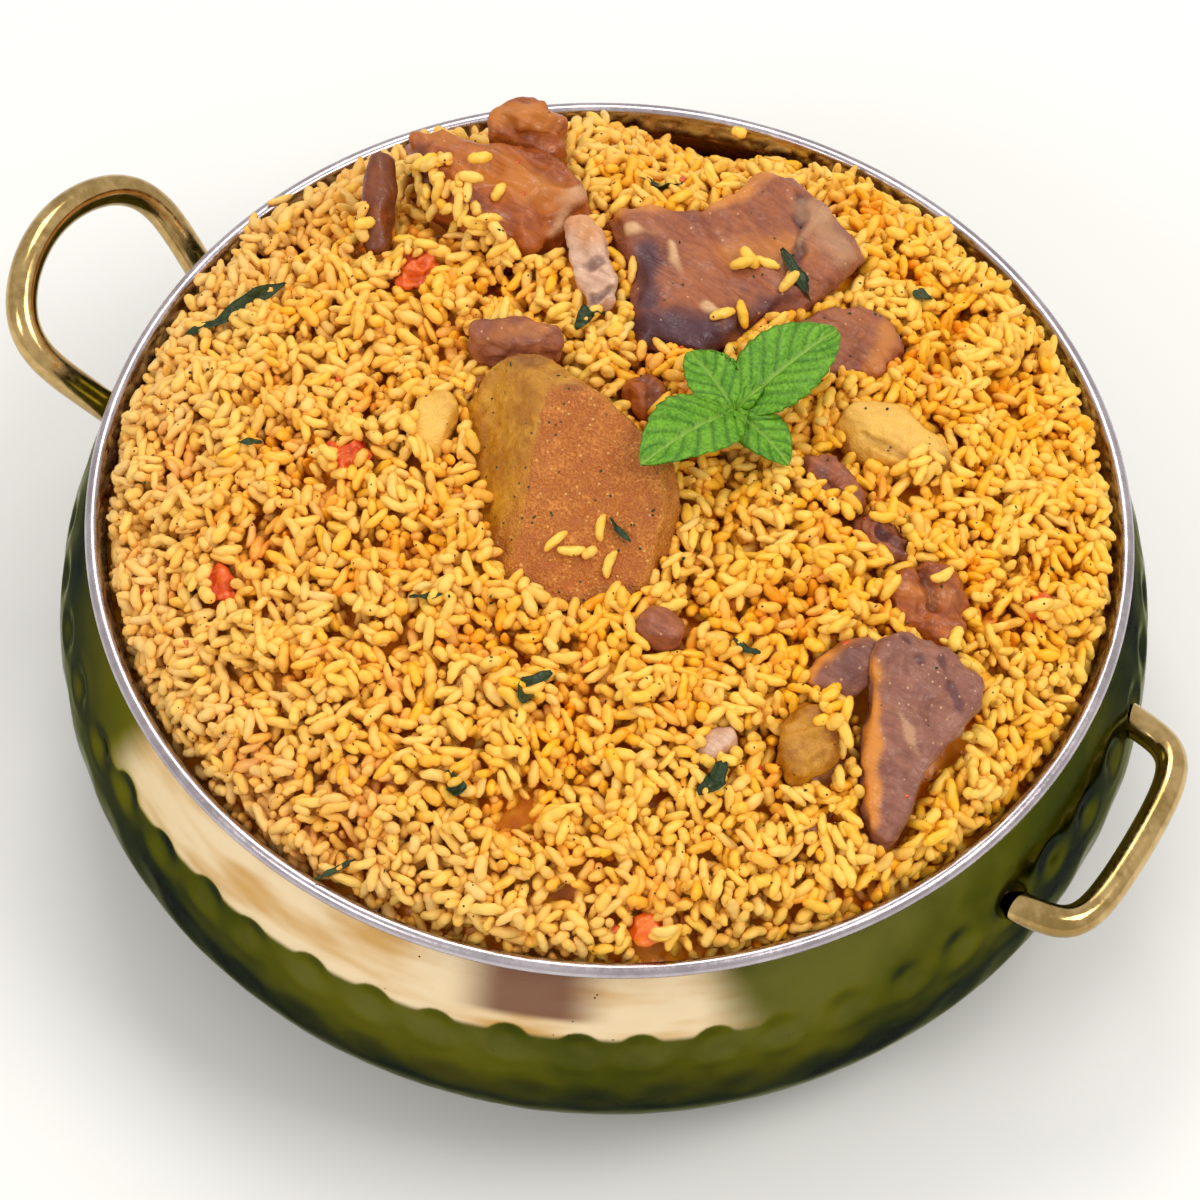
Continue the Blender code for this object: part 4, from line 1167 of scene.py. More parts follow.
FOOD: tuple[FoodPiece, ...] = (
    LargePotato("potato_large", POTATO_DEEP, marks=POTATO_MARKS, smoothing=3,
                reliefs=(Relief(0.9, 9), Relief(0.35, 2.0), Relief(0.18, 0.9)),
                facets=(Facet((0.115, -0.413, 0.903), 1.2),
                        Facet((-0.542, -0.518, 0.655), through=(-13.4, -12.2, 100.2)),
                        Facet((0.22, 0.867, 0.435), 3.0), Facet((0.95, 0.10, 0.30), 2.4),
                        Facet((0.727, -0.477, -0.49), 2.6), Facet((-0.276, -0.867, -0.419), 2.6)),
                strokes=(Stroke("pale", (-22, -12, 97), (-26, 2, 100), 2.6, 0.55, -0.7),
                         Stroke("dark", (-30, -2, 104), (-20, 5, 105), 3.0, 0.5),
                         Stroke("dark", (-14, -2, 109), (-4, 3, 109), 1.6, 0.45, -0.3),
                         Stroke("dark", (18, -26, 94), (10, -32, 92), 2.0, 0.35))),
    MEAT_REAR_LEFT,
    MEAT_REAR_RIGHT,
    FoodPiece("meat_rear_under", LEAN,
              reliefs=(Relief(0.9, 4), Relief(0.6, 2.5, ridged=True)),
              strokes=(Stroke("fat", (30, 52, 92), (32, 44, 92), 2.4, 0.6),)),
    MEAT_LOWER_RIGHT,
    FoodPiece("potato_wedge", POTATO, marks=POTATO_MARKS, voxel=0.5 * MM,
              reliefs=(Relief(1.0, 6), Relief(0.2, 1.2)),
              facets=(Facet((0.1, -0.45, 0.89), 1.6), Facet((-0.2, -0.85, 0.3), 1.8),
                      Facet((0.25, 0.8, 0.5), 2.2), Facet((-0.9, -0.1, 0.3), 1.4)),
              strokes=(Stroke("dark", (36, 27, 95), (50, 28, 93), 0.8, 0.25, -0.9),
                       Stroke("dark", (53, 31, 91), (55, 28, 88), 2.2, 0.8),
                       Stroke("pale", (34, 31, 97), (48, 33, 93), 4.0, 0.5))),
    FoodPiece("potato_side", POTATO, marks=POTATO_MARKS, voxel=0.5 * MM,
              reliefs=(Relief(1.0, 5), Relief(0.2, 1.2)),
              facets=(Facet((0.1, -0.5, 0.86), 1.4), Facet((-0.95, -0.2, 0.2), 1.2),
                      Facet((0.6, -0.6, 0.4), 1.0)),
              strokes=(Stroke("pale", (-34, -12, 98), (-30, -18, 97), 4.0, 0.6),)),
    FoodPiece("meat_strip_upper", LEAN, voxel=0.4 * MM, smoothing=3,
              reliefs=(Relief(1.1, 1.9, along=(1, -0.4, -0.2), stretch=5),
                       Relief(1.3, 3, ridged=True)),
              strokes=(Stroke("dark", (34, 16, 95), (40, 14, 93), 1.5, 0.8, -0.5),)),
    FoodPiece("meat_strip_lower", LEAN, voxel=0.4 * MM, smoothing=3,
              reliefs=(Relief(1.1, 1.8, along=(1, -0.3, -0.1), stretch=5),
                       Relief(1.3, 3, ridged=True)),
              strokes=(Stroke("dark", (50, 12, 92), (55, 10, 91), 1.5, 0.8, -0.4),)),
    FoodPiece("meat_skin", BROWNED, voxel=0.4 * MM, smoothing=3,
              reliefs=(Relief(1.9, 6), Relief(0.6, 2.5), Relief(1.0, 4, ridged=True)),
              strokes=(Stroke("dark", (61, 9, 92), (66, 3, 90), 1.6, 0.6, -1.8),
                       Stroke("fat", (60, 2, 91), (68, 6, 90), 2.0, 0.4, 0.4))),
    FoodPiece("fat_piece", POTATO_DEEP, marks=POTATO_MARKS, voxel=0.4 * MM,
              reliefs=(Relief(1.4, 4), Relief(0.9, 3.4, along=(0.5, 0.8, 0), ridged=True)),
              strokes=(Stroke("pale", (58, -34, 91), (62, -30, 92), 2.5, 0.5),)),
    FoodPiece("bone_end", GRISTLE, voxel=0.4 * MM, smoothing=3, swell=0.2 * MM,
              reliefs=(Relief(0.9, 4), Relief(0.4, 1.6)),
              facets=(Facet((-0.2, -0.45, 0.87), 1.6), Facet((0.8, -0.4, 0.3), 1.0)),
              strokes=(Stroke("dark", (-20, 26, 97), (-17, 30, 99), 1.2, 0.7, -0.8),
                       Stroke("dark", (-26, 31, 97), (-22, 33, 100), 1.0, 0.6, -0.7),
                       Stroke("fat", (-34, 42, 98), (-28, 38, 101), 3.5, 0.55))),
    FoodPiece("meat_rear_knob", BROWNED, smoothing=4, swell=0.0,
              reliefs=(Relief(2.0, 6), Relief(1.0, 5, ridged=True), Relief(0.35, 2)),
              strokes=(Stroke("fat", (-58, 53, 100), (-48, 58, 101), 3.0, 0.6),)),
    FoodPiece("meat_rear_strip", BROWNED,
              reliefs=(Relief(0.8, 4), Relief(0.5, 2.0, along=(-0.5, 0.8, 0.3))),
              strokes=(Stroke("dark", (-65, 20, 88), (-73, 36, 94), 5.0, 0.75),)),
    FoodPiece("meat_dome", LEAN,
              reliefs=(Relief(1.0, 5), Relief(0.5, 2, along=(1, 0.2, 0)),
                       Relief(0.8, 4, ridged=True)),
              strokes=(Stroke("fat", (-32, 3, 103), (-22, 13, 104), 2.0, 0.35),
                       Stroke("dark", (-35, 8, 100), (-28, 14, 103), 2.4, 0.85))),
    FoodPiece("meat_lower_lobe", LEAN_CROSS, voxel=0.45 * MM,
              reliefs=(Relief(0.7, 5), Relief(0.3, 2)),
              strokes=(Stroke("fat", (54, -24, 91), (57, -13, 94), 2.0, 1.0),
                       Stroke("dark", (58, -16, 95), (62, -20, 94), 3.0, 0.5))),
    FoodPiece("meat_under_potato", LEAN, voxel=0.45 * MM, reliefs=(Relief(0.7, 3),)),
    FoodPiece("meat_middle_bits", BROWNED, voxel=0.45 * MM,
              reliefs=(Relief(0.9, 3), Relief(0.4, 1.5)),
              strokes=(Stroke("dark", (-3, 16, 97), (2, 12, 97), 2.0, 0.6, -0.8),)),
    FoodPiece("meat_sliver", GRISTLE, voxel=0.4 * MM, reliefs=(Relief(0.6, 2.5),)),
    *(FoodPiece(name, TOMATO, voxel=0.4 * MM, swell=-0.3 * MM,
                reliefs=(Relief(2.4, 3.2), Relief(0.8, 1.4)))
      for name in ("tomato_left", "tomato_low_left", "tomato_right", "tomato_rear")),
    FoodPiece("carrot_front", CARROT, voxel=0.4 * MM, smoothing=3, swell=0.0,
              reliefs=(Relief(1.2, 3), Relief(0.4, 1.2)),
              facets=(Facet((0.1, -0.4, 0.9), 0.8), Facet((-0.7, -0.5, 0.4), 1.2))),
)


# ---------------------------------------------------------------- the mint

@dataclass
class MintSprig:
    """Four crinkled leaves with toothed edges on one bud."""
    bud: Place = (17, 15, 100.5)
    # tip of each leaf, its width, how far it arches and how many teeth a side it has
    leaves: tuple = (((25, 40, 103), 15.5, 1.8, 9), ((3, 21.5, 102), 10.5, 1.3, 7),
                     ((10.5, -10, 109.3), 15, 2.0, 8), ((30.5, 11.5, 98), 9.5, 1.0, 6))
    thickness: float = 0.45 * MM
    along_steps: int = 64
    across_steps: int = 24

    def leaf(self, tip: Place, width: float, arch: float, teeth: int, base: Place | None = None
             ) -> tuple[list[Vector], list[tuple], list[tuple]]:
        """Shape one leaf.

        Args:
            tip: Its tip, in mm.
            width: Its width, in mm.
            arch: How far its middle rises over a straight line, in mm.
            teeth: Teeth on each side.
            base: Where it starts, in mm; the bud if left out.

        Returns:
            Points, faces, and how much each point is pale vein and painted groove shade.
        """
        start, end = Vector(base or self.bud) * MM, Vector(tip) * MM
        along = end - start
        across = Vector((-along.y, along.x, 0)).normalized()
        upward = along.cross(across).normalized()
        if upward.z < 0:
            upward.negate()
        points, veins = [], []
        for side in (1, -1):
            for step in range(self.along_steps + 1):
                part = step / self.along_steps
                half = width * MM / 2 * math.sin(math.pi * min(part, 0.9999) ** 0.85) ** 0.66
                tooth = 1 + 0.07 * ((part * teeth) % 1.0) * (0.15 < part < 0.97)
                for cross in range(self.across_steps + 1):
                    v = 2 * cross / self.across_steps - 1
                    out = v * half * (tooth if abs(v) > 0.8 else 1.0)
                    slant = (part - 0.30 * abs(v)) * (teeth * 0.85)
                    rib = math.exp(-((slant - round(slant)) / 0.13) ** 2) * (abs(v) < 0.93)
                    mid = math.exp(-(v * half / (0.35 * MM)) ** 2)
                    sunk = max(mid, 0.8 * rib * (1 - abs(v) * 0.4))
                    vein = 0.8 * mid
                    puff = (0.85 * MM * (1 - sunk) * math.sqrt(max(1 - abs(v), 0))
                            * (half > 0.6 * MM))
                    fold = abs(v) * half * 0.28 + 0.5 * MM * math.sin(6 * part + 3 * v) * abs(v)
                    rise = arch * MM * math.sin(math.pi * part) + fold + puff
                    lift = (side * self.thickness / 2 * (1 - abs(v) ** 6)
                            * (0.25 + 0.75 * (half > 0.3 * MM)))
                    points.append(start + along * part + across * out + upward * (rise + lift))
                    # the second value is painted shade along the ribs and the midrib on the upper
                    # side
                    veins.append((vein, 0.65 * max(rib, mid) * (side > 0)))
        rows, count = self.along_steps + 1, self.across_steps + 1
        faces = grid_faces(0, rows, count) + grid_faces(rows * count, rows, count)
        return points, faces, veins

    def build(self) -> bpy.types.Object:
        """Make the sprig as one piece: the leaves, two small leaves and the bud between them."""
        points, faces, veins = [], [], []
        small = (((19.5, 21.5, 103.5), 4.0, 0.8, 4), ((12.5, 11.5, 103.0), 4.0, 0.8, 4),
                 ((20.5, 12.0, 103.0), 3.5, 0.6, 4))
        for shape in self.leaves + small:
            more, sides, tones = self.leaf(*shape)
            faces += [tuple(len(points) + corner for corner in side) for side in sides]
            points += more
            veins += tones
        mesh = mesh_from("mint_leaves", points, faces)
        marks = np.array(veins)
        set_attribute(mesh, "vein", marks[:, 0])
        set_attribute(mesh, "groove", marks[:, 1])
        face_outwards(mesh, 0.02 * MM)
        made = new_object("mint_leaves", mesh, MINT)
        return hand_in(made, Slot.MINT, "mint_sprig")


# ---------------------------------------------------------------- the rice

@dataclass(frozen=True)
class GrainKind:
    """Shape of one kind of rice grain, in mm, and its share of the heap."""
    name: str
    length: float
    width: float
    bend: float
    taper: float
    share: float
    blunt: bool = False

    def mesh(self, sides: int = 7, rings: int = 5) -> bpy.types.Mesh:
        """Return the grain lying along X, with its ends marked for the finish."""
        points, ends = [(-self.length / 2, 0.0, -self.bend)], [1.0]
        for ring in range(1, rings + 1):
            part = -math.cos(math.pi * ring / (rings + 1))
            girth = (1 - abs(part) ** self.taper) ** 0.52
            if self.blunt and part > 0.3:
                girth = max(girth, 0.72)
            for side in range(sides):
                turn = math.tau * (side + 0.5 * (ring % 2)) / sides
                ridge = 1 + 0.05 * math.cos(2 * turn)
                points.append((part * self.length / 2,
                               girth * ridge * self.width / 2 * math.cos(turn),
                               girth * self.width * 0.46 * math.sin(turn)
                               - self.bend * part ** 2))
                ends.append(max(0.0, abs(part) - 0.55) / 0.45)
        points.append((self.length / 2 * (0.86 if self.blunt else 1.0), 0.0, -self.bend))
        ends.append(1.0)
        mesh = mesh_from("grain_" + self.name, [Vector(point) * MM for point in points],
                         barrel_faces(sides, rings))
        set_attribute(mesh, "end", np.array(ends))
        face_outwards(mesh)
        return mesh


GRAIN_KINDS = (
    GrainKind("plump", 5.5, 2.35, 0.12, 3.0, 0.22),
    GrainKind("slender", 6.1, 2.0, 0.25, 2.6, 0.18),
    GrainKind("curved", 5.7, 2.15, 0.55, 2.8, 0.18),
    GrainKind("broken", 3.5, 2.2, 0.10, 3.3, 0.14, blunt=True),
    GrainKind("stubby", 4.3, 2.4, 0.15, 3.1, 0.18),
    GrainKind("bent", 5.8, 2.2, 0.85, 2.9, 0.10),
)


@dataclass
class RiceHeap:
    """The heap: a relief core below, and thousands of grains laid on it one by one."""
    cell: float = 0.5 * MM
    reach: float = 100 * MM
    wall_radius: float = 95.4 * MM
    core_depth: float = 6.6 * MM
    edge_lift: float = 3.2 * MM
    clump_height: float = 5.2 * MM
    clump_size: float = 8.5 * MM
    closeness: float = 0.80
    sink: float = 0.30 * MM
    most_grains: int = 12600
    rim_gap: float = 1.2 * MM
    wall_hollow: tuple[float, float, float] = (27 * MM, 91 * MM, 20 * MM)
    top_tolerance: float = 1.9 * MM
    stray_scale: float = 0.97
    coarse_step: int = 4
    recount: int = 400
    choices: int = 14
    seed: int = 20
    laid: list = field(default_factory=list)

    def __post_init__(self) -> None:
        """Prepare the grid of the heap's plan."""
        self.count = int(2 * self.reach / self.cell) + 1
        self.axis = np.linspace(-self.reach, self.reach, self.count)
        self.grid_x, self.grid_y = np.meshgrid(self.axis, self.axis, indexing="ij")
        self.radius = np.hypot(self.grid_x, self.grid_y)
        self.random = np.random.default_rng(self.seed)

    def index(self, value: float) -> int:
        """Return the grid step of a coordinate."""
        return int(round((value + self.reach) / self.cell))

    def field_of_noise(self, size: float, seed: float) -> np.ndarray:
        """Return smooth noise over the grid, worked out at coarse steps and filled in."""
        coarse = self.axis[::self.coarse_step]
        rough = np.array([[noise.noise(Vector((x / size, y / size, seed))) for y in coarse]
                          for x in coarse])
        return self.refine(rough)

    def refine(self, coarse: np.ndarray) -> np.ndarray:
        """Fill in a field that is known at the coarse steps of the grid."""
        steps = np.arange(self.count) / self.coarse_step
        low = np.minimum(steps.astype(int), coarse.shape[0] - 2)
        part = steps - low
        rows = coarse[low] * (1 - part)[:, None] + coarse[low + 1] * part[:, None]
        return rows[:, low] * (1 - part) + rows[:, low + 1] * part

    def survey(self, pieces: list[bpy.types.Object]) -> None:
        """Read the surface of the CAD heap and the tops of the pieces in it.

        Args:
            pieces: The finished pieces of food that stand in the rice.
        """
        self.tops = np.full((self.count, self.count), -1.0)
        for piece in pieces:
            points = coordinates(piece.data)
            rows = np.clip(((points[:, 0] + self.reach) / self.cell).round().astype(int), 1,
                           self.count - 2)
            columns = np.clip(((points[:, 1] + self.reach) / self.cell).round().astype(int), 1,
                              self.count - 2)
            for near_x, near_y in ((0, 0), (1, 0), (-1, 0), (0, 1), (0, -1)):
                np.maximum.at(self.tops, (rows + near_x, columns + near_y), points[:, 2])
        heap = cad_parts["rice"].data
        tree = BVHTree.FromPolygons([v.co for v in heap.vertices],
                                    [list(face.vertices) for face in heap.polygons])
        coarse = self.axis[::self.coarse_step]
        found = np.full((len(coarse), len(coarse)), np.nan)
        for at_x, x in enumerate(coarse):
            for at_y, y in enumerate(coarse):
                top = self.tops[at_x * self.coarse_step, at_y * self.coarse_step]
                if math.hypot(x, y) < self.wall_radius and top < 0:
                    hit = tree.ray_cast(Vector((x, y, 1.0)), Vector((0, 0, -1)))[0]
                    found[at_x, at_y] = hit.z if hit else np.nan
        known = ~np.isnan(found)
        level = np.where(known, found, np.nanmean(found))
        for _ in range(400):
            padded = np.pad(level, 1, mode="edge")
            around = (padded[2:, 1:-1] + padded[:-2, 1:-1] + padded[1:-1, 2:]
                      + padded[1:-1, :-2]) / 4
            level = np.where(known, found, around)
        self.surface = self.refine(level)

    @staticmethod
    def eroded(tops: np.ndarray, steps: int) -> np.ndarray:
        """Return the tops with that many cells taken off round every piece."""
        for _ in range(steps):
            padded = np.pad(tops, 1, mode="edge")
            tops = np.minimum.reduce([tops, padded[2:, 1:-1], padded[:-2, 1:-1],
                                      padded[1:-1, 2:], padded[1:-1, :-2]])
        return tops

    def mounds(self, wanted: np.ndarray) -> np.ndarray:
        """Raise the wanted surface where rice is heaped over a piece."""
        for x, y, reach, height in MOUNDS:
            away = np.hypot(self.grid_x - x * MM, self.grid_y - y * MM) / (reach * MM)
            over = np.maximum(self.surface, self.tops) + height * MM * (1 - away ** 2)
            wanted = np.where(away < 1, np.maximum(wanted, over), wanted)
        return wanted

    def core(self) -> bpy.types.Object:
        """Make the core: the heap's own shape a few millimetres down, in grain-sized relief."""
        spokes, rings = 330, 88
        pot = Pot()
        side = pot.wall_curve(2 * pot.wall + 2 * pot.gap, 12, 8)
        points = [Vector((0.0, 0.0, 2 * pot.wall + 2 * pot.gap))]
        bumps = self.field_of_noise(2.6 * MM, 7.0) * 1.1 * MM
        depth = self.surface - self.core_depth + bumps
        edge = self.wall_radius
        wall_top = 60 * MM
        levels = [pair for pair in side if pair[1] < wall_top]
        for radius, height in levels:
            points += [Vector((radius * math.cos(math.tau * s / spokes),
                               radius * math.sin(math.tau * s / spokes), height))
                       for s in range(spokes)]
        for ring in range(rings):
            radius = edge * (1 - ring / rings)
            for s in range(spokes):
                x = radius * math.cos(math.tau * s / spokes)
                y = radius * math.sin(math.tau * s / spokes)
                height = max(depth[self.index(x), self.index(y)], wall_top + 0.5 * MM)
                points.append(Vector((x, y, height)))
        points.append(Vector((0.0, 0.0, depth[self.index(0.0), self.index(0.0)])))
        mesh = mesh_from("rice_core", points, barrel_faces(spokes, len(levels) + rings))
        face_outwards(mesh)
        # painted shade: the core gets a deep amber tone that shows in the gaps between grains
        set_attribute(mesh, "tone", np.full(len(mesh.vertices), 0.05))
        made = new_object("rice_core", mesh, RICE)
        return hand_in(made, Slot.RICE, "rice")

    def footprint(self, kind: GrainKind, yaw: float, tilt: float, scale: float,
                  x: float, y: float) -> tuple | None:
        """Work out which cells a grain covers, and its underside and top over its centre.

        Returns:
            Row and column slices, the mask, the underside and the top; None outside the grid.
        """
        half = kind.length * scale * MM / 2 * self.closeness
        girth = kind.width * scale * MM / 2 * self.closeness
        reach = int((half * math.cos(tilt) + girth) / self.cell) + 1
        row, column = self.index(x), self.index(y)
        if min(row, column) < reach or max(row, column) + reach >= self.count:
            return None
        rows = slice(row - reach, row + reach + 1)
        columns = slice(column - reach, column + reach + 1)
        dx, dy = self.grid_x[rows, columns] - x, self.grid_y[rows, columns] - y
        along = dx * math.cos(yaw) + dy * math.sin(yaw)
        across = -dx * math.sin(yaw) + dy * math.cos(yaw)
        part = along / math.cos(tilt) / half
        local = girth * np.clip(1 - np.abs(part) ** 2.4, 0, 1) ** 0.55
        mask = (np.abs(part) < 1) & (np.abs(across) < local)
        if not mask.any():
            return None
        thick = np.sqrt(np.clip(local ** 2 - across ** 2, 0, None)) / math.cos(tilt)
        middle = along * math.tan(tilt)
        return rows, columns, mask, middle - thick, middle + thick

    def lay(self, kind: GrainKind, x: float, y: float, height: np.ndarray, yaws: np.ndarray,
            tilts: np.ndarray, scale: float) -> tuple | None:
        """Let a grain come to rest in the lowest of a few ways of lying.

        Args:
            kind: Kind of grain.
            x: Centre along X.
            y: Centre along Y.
            height: Present height of the heap, cell by cell.
            yaws: Headings to try.
            tilts: Rise of the grain at each heading.
            scale: Size against the kind's own.

        Returns:
            Height of its centre, heading, tilt and footprint; None if none fits.
        """
        best = None
        for yaw, tilt in zip(yaws, tilts):
            seen = self.footprint(kind, yaw, tilt, scale, x, y)
            if seen is None:
                continue
            rows, columns, mask, under, _ = seen
            rest = (height[rows, columns] - under)[mask].max() - self.sink
            if best is None or rest < best[0]:
                best = (rest, yaw, tilt, seen)
        return best

    def keep(self, height: np.ndarray, grain: tuple, seen: tuple) -> None:
        """Add a grain to those laid, and its top to the heap's height under its footprint."""
        rows, columns, mask, _, over = seen
        height[rows, columns] = np.where(mask, np.maximum(height[rows, columns], grain[3] + over),
                                         height[rows, columns])
        self.laid.append(grain)

    def pile(self) -> None:
        """Lay grains on the lowest places until the heap reaches its uneven surface."""
        clumps = (self.field_of_noise(self.clump_size, 1.0) * self.clump_height
                  + self.field_of_noise(self.clump_size * 0.45, 2.0) * self.clump_height * 0.6)
        rim = np.clip((self.radius - 80 * MM) / (14 * MM), 0, 1)
        left, back, width = self.wall_hollow
        hollow = np.exp(-(np.hypot(self.grid_x + left, self.grid_y - back) / width) ** 2)
        self.wanted = self.surface + clumps + self.edge_lift * rim * (1 - hollow)
        pressed = self.eroded(self.tops, 2)
        height = np.maximum(self.surface - self.core_depth, pressed)
        closed = pressed > self.surface - 0.4 * MM
        self.wanted[closed] = -1.0
        self.wanted = self.mounds(self.wanted)
        self.wanted[self.radius > self.wall_radius] = -1.0
        height[self.radius > self.wall_radius + self.rim_gap] = 1.0
        heading = self.field_of_noise(12 * MM, 3.0) * 4.0
        shares = np.cumsum([kind.share for kind in GRAIN_KINDS])
        misses = np.zeros_like(height)
        open_cells = np.argwhere(self.wanted - height > 1.2 * MM)
        tries = 0
        while len(self.laid) < self.most_grains and tries < 3 * self.most_grains:
            tries += 1
            if tries % self.recount == 0:
                gap = self.wanted - height - misses
                open_cells = np.argwhere(gap > 1.0 * MM)
                if len(open_cells) < 40:
                    break
            picks = open_cells[self.random.integers(0, len(open_cells), self.choices)]
            gaps = (self.wanted[picks[:, 0], picks[:, 1]] - height[picks[:, 0], picks[:, 1]]
                    - misses[picks[:, 0], picks[:, 1]])
            row, column = picks[int(np.argmax(gaps))]
            x, y = self.axis[row], self.axis[column]
            kind_at = int(np.searchsorted(shares, self.random.random() * shares[-1]))
            kind = GRAIN_KINDS[kind_at]
            scale = float(np.clip(self.random.normal(1.0, 0.10), 0.78, 1.24))
            yaws = heading[row, column] + self.random.normal(0, 1.2, 2)
            tilts = np.clip(self.random.normal(0, 0.85, 2), -1.3, 1.3)
            found = self.lay(kind, x, y, height, yaws, tilts, scale)
            if found is None:
                misses[row, column] += 2 * MM
                continue
            rest, yaw, tilt, (rows, columns, mask, _, over) = found
            half = kind.length * scale * MM / 2 * math.cos(tilt)
            ends = [math.hypot(x + s * half * math.cos(yaw), y + s * half * math.sin(yaw))
                    for s in (-1, 1)]
            top = (rest + over - np.maximum(self.wanted[rows, columns], 0))[mask].mean()
            if max(ends) > self.wall_radius + 0.6 * MM or top > self.top_tolerance:
                misses[max(row - 1, 0):row + 2, max(column - 1, 0):column + 2] += 0.8 * MM
                continue
            self.keep(height, (kind_at, x, y, rest, yaw, tilt, scale), found[3])
        pot = Pot()
        over_bead = np.clip(1 - ((self.radius - pot.rim_radius) / pot.bead_radius) ** 2, 0, 1)
        rim_top = pot.rim_height + pot.bead_radius * np.sqrt(over_bead)
        self.height = np.where(self.radius > self.wall_radius + self.rim_gap, rim_top, height)
        LOG.info("rice: %d grains laid in %d tries", len(self.laid), tries)

    def stray(self, places: list[tuple[float, float, float]]) -> None:
        """Lay single grains on top of what is there; each place is x and y in mm, and heading."""
        for x, y, heading in places:
            kind_at = int(self.random.integers(0, len(GRAIN_KINDS)))
            kind = GRAIN_KINDS[kind_at]
            yaws = math.radians(heading) + self.random.normal(0, 0.12, 9)
            tilts = np.linspace(-0.7, 0.7, 9)
            found = self.lay(kind, x * MM, y * MM, self.height, yaws, tilts, self.stray_scale)
            if found is None:
                continue
            rest, yaw, tilt, seen = found
            self.keep(self.height, (kind_at, x * MM, y * MM, rest, yaw, tilt, self.stray_scale),
                      seen)

    def grains(self) -> None:
        """Make one piece for each kind of grain from all that are laid."""
        rows = np.array(self.laid)
        count = len(rows)
        x, y, z, yaw, tilt, scale = rows[:, 1:].T
        roll = self.random.uniform(-math.pi, math.pi, count)
        turns = np.stack([roll, -tilt, yaw], axis=1)
        stretches = np.stack([scale, scale * self.random.normal(1, 0.07, count),
                              scale * self.random.normal(1, 0.07, count)], axis=1)
        clusters = np.array([noise.noise(Vector((a, b, c)) / (13 * MM)) for a, b, c in
                             zip(x, y, z)])
        tone = 0.62 + 0.55 * clusters + self.random.normal(0, 0.16, count)
        # painted shade and light: grains below the heap's surface get a darker tone, grains above
        # it a lighter one
        depth = self.surface[((x + self.reach) / self.cell).astype(int),
                             ((y + self.reach) / self.cell).astype(int)] - z
        tone -= np.clip(depth / (4 * MM), -1, 1) * 0.22
        side = np.clip((-x * 0.85 - y * 0.5) / (90 * MM), -1, 1)
        rim = np.clip((np.hypot(x, y) - 74 * MM) / (20 * MM), 0, 1)
        pale = (0.14 + 0.20 * side + 0.30 * rim * np.clip(side + 0.6, 0, 1)
                + self.random.normal(0, 0.14, count))
        for at, kind in enumerate(GRAIN_KINDS):
            mine = rows[:, 0].astype(int) == at
            places = np.stack([x[mine], y[mine], z[mine]], axis=1)
            piece = scatter("rice_" + kind.name, kind.mesh(), RICE, places, turns[mine],
                            stretches[mine], {"tone": np.clip(tone[mine], 0, 1),
                                              "pale": np.clip(pale[mine], 0, 0.85)})
            hand_in(piece, Slot.RICE, "rice")


# ---------------------------------------------------------------- herbs, spice and crumbs

@dataclass(frozen=True)
class HerbLeaf:
    """A curled strip of cooked leaf through a few places on the food, in mm."""
    path: tuple[tuple[float, float], ...]
    width: float
    curl: float = 1.0


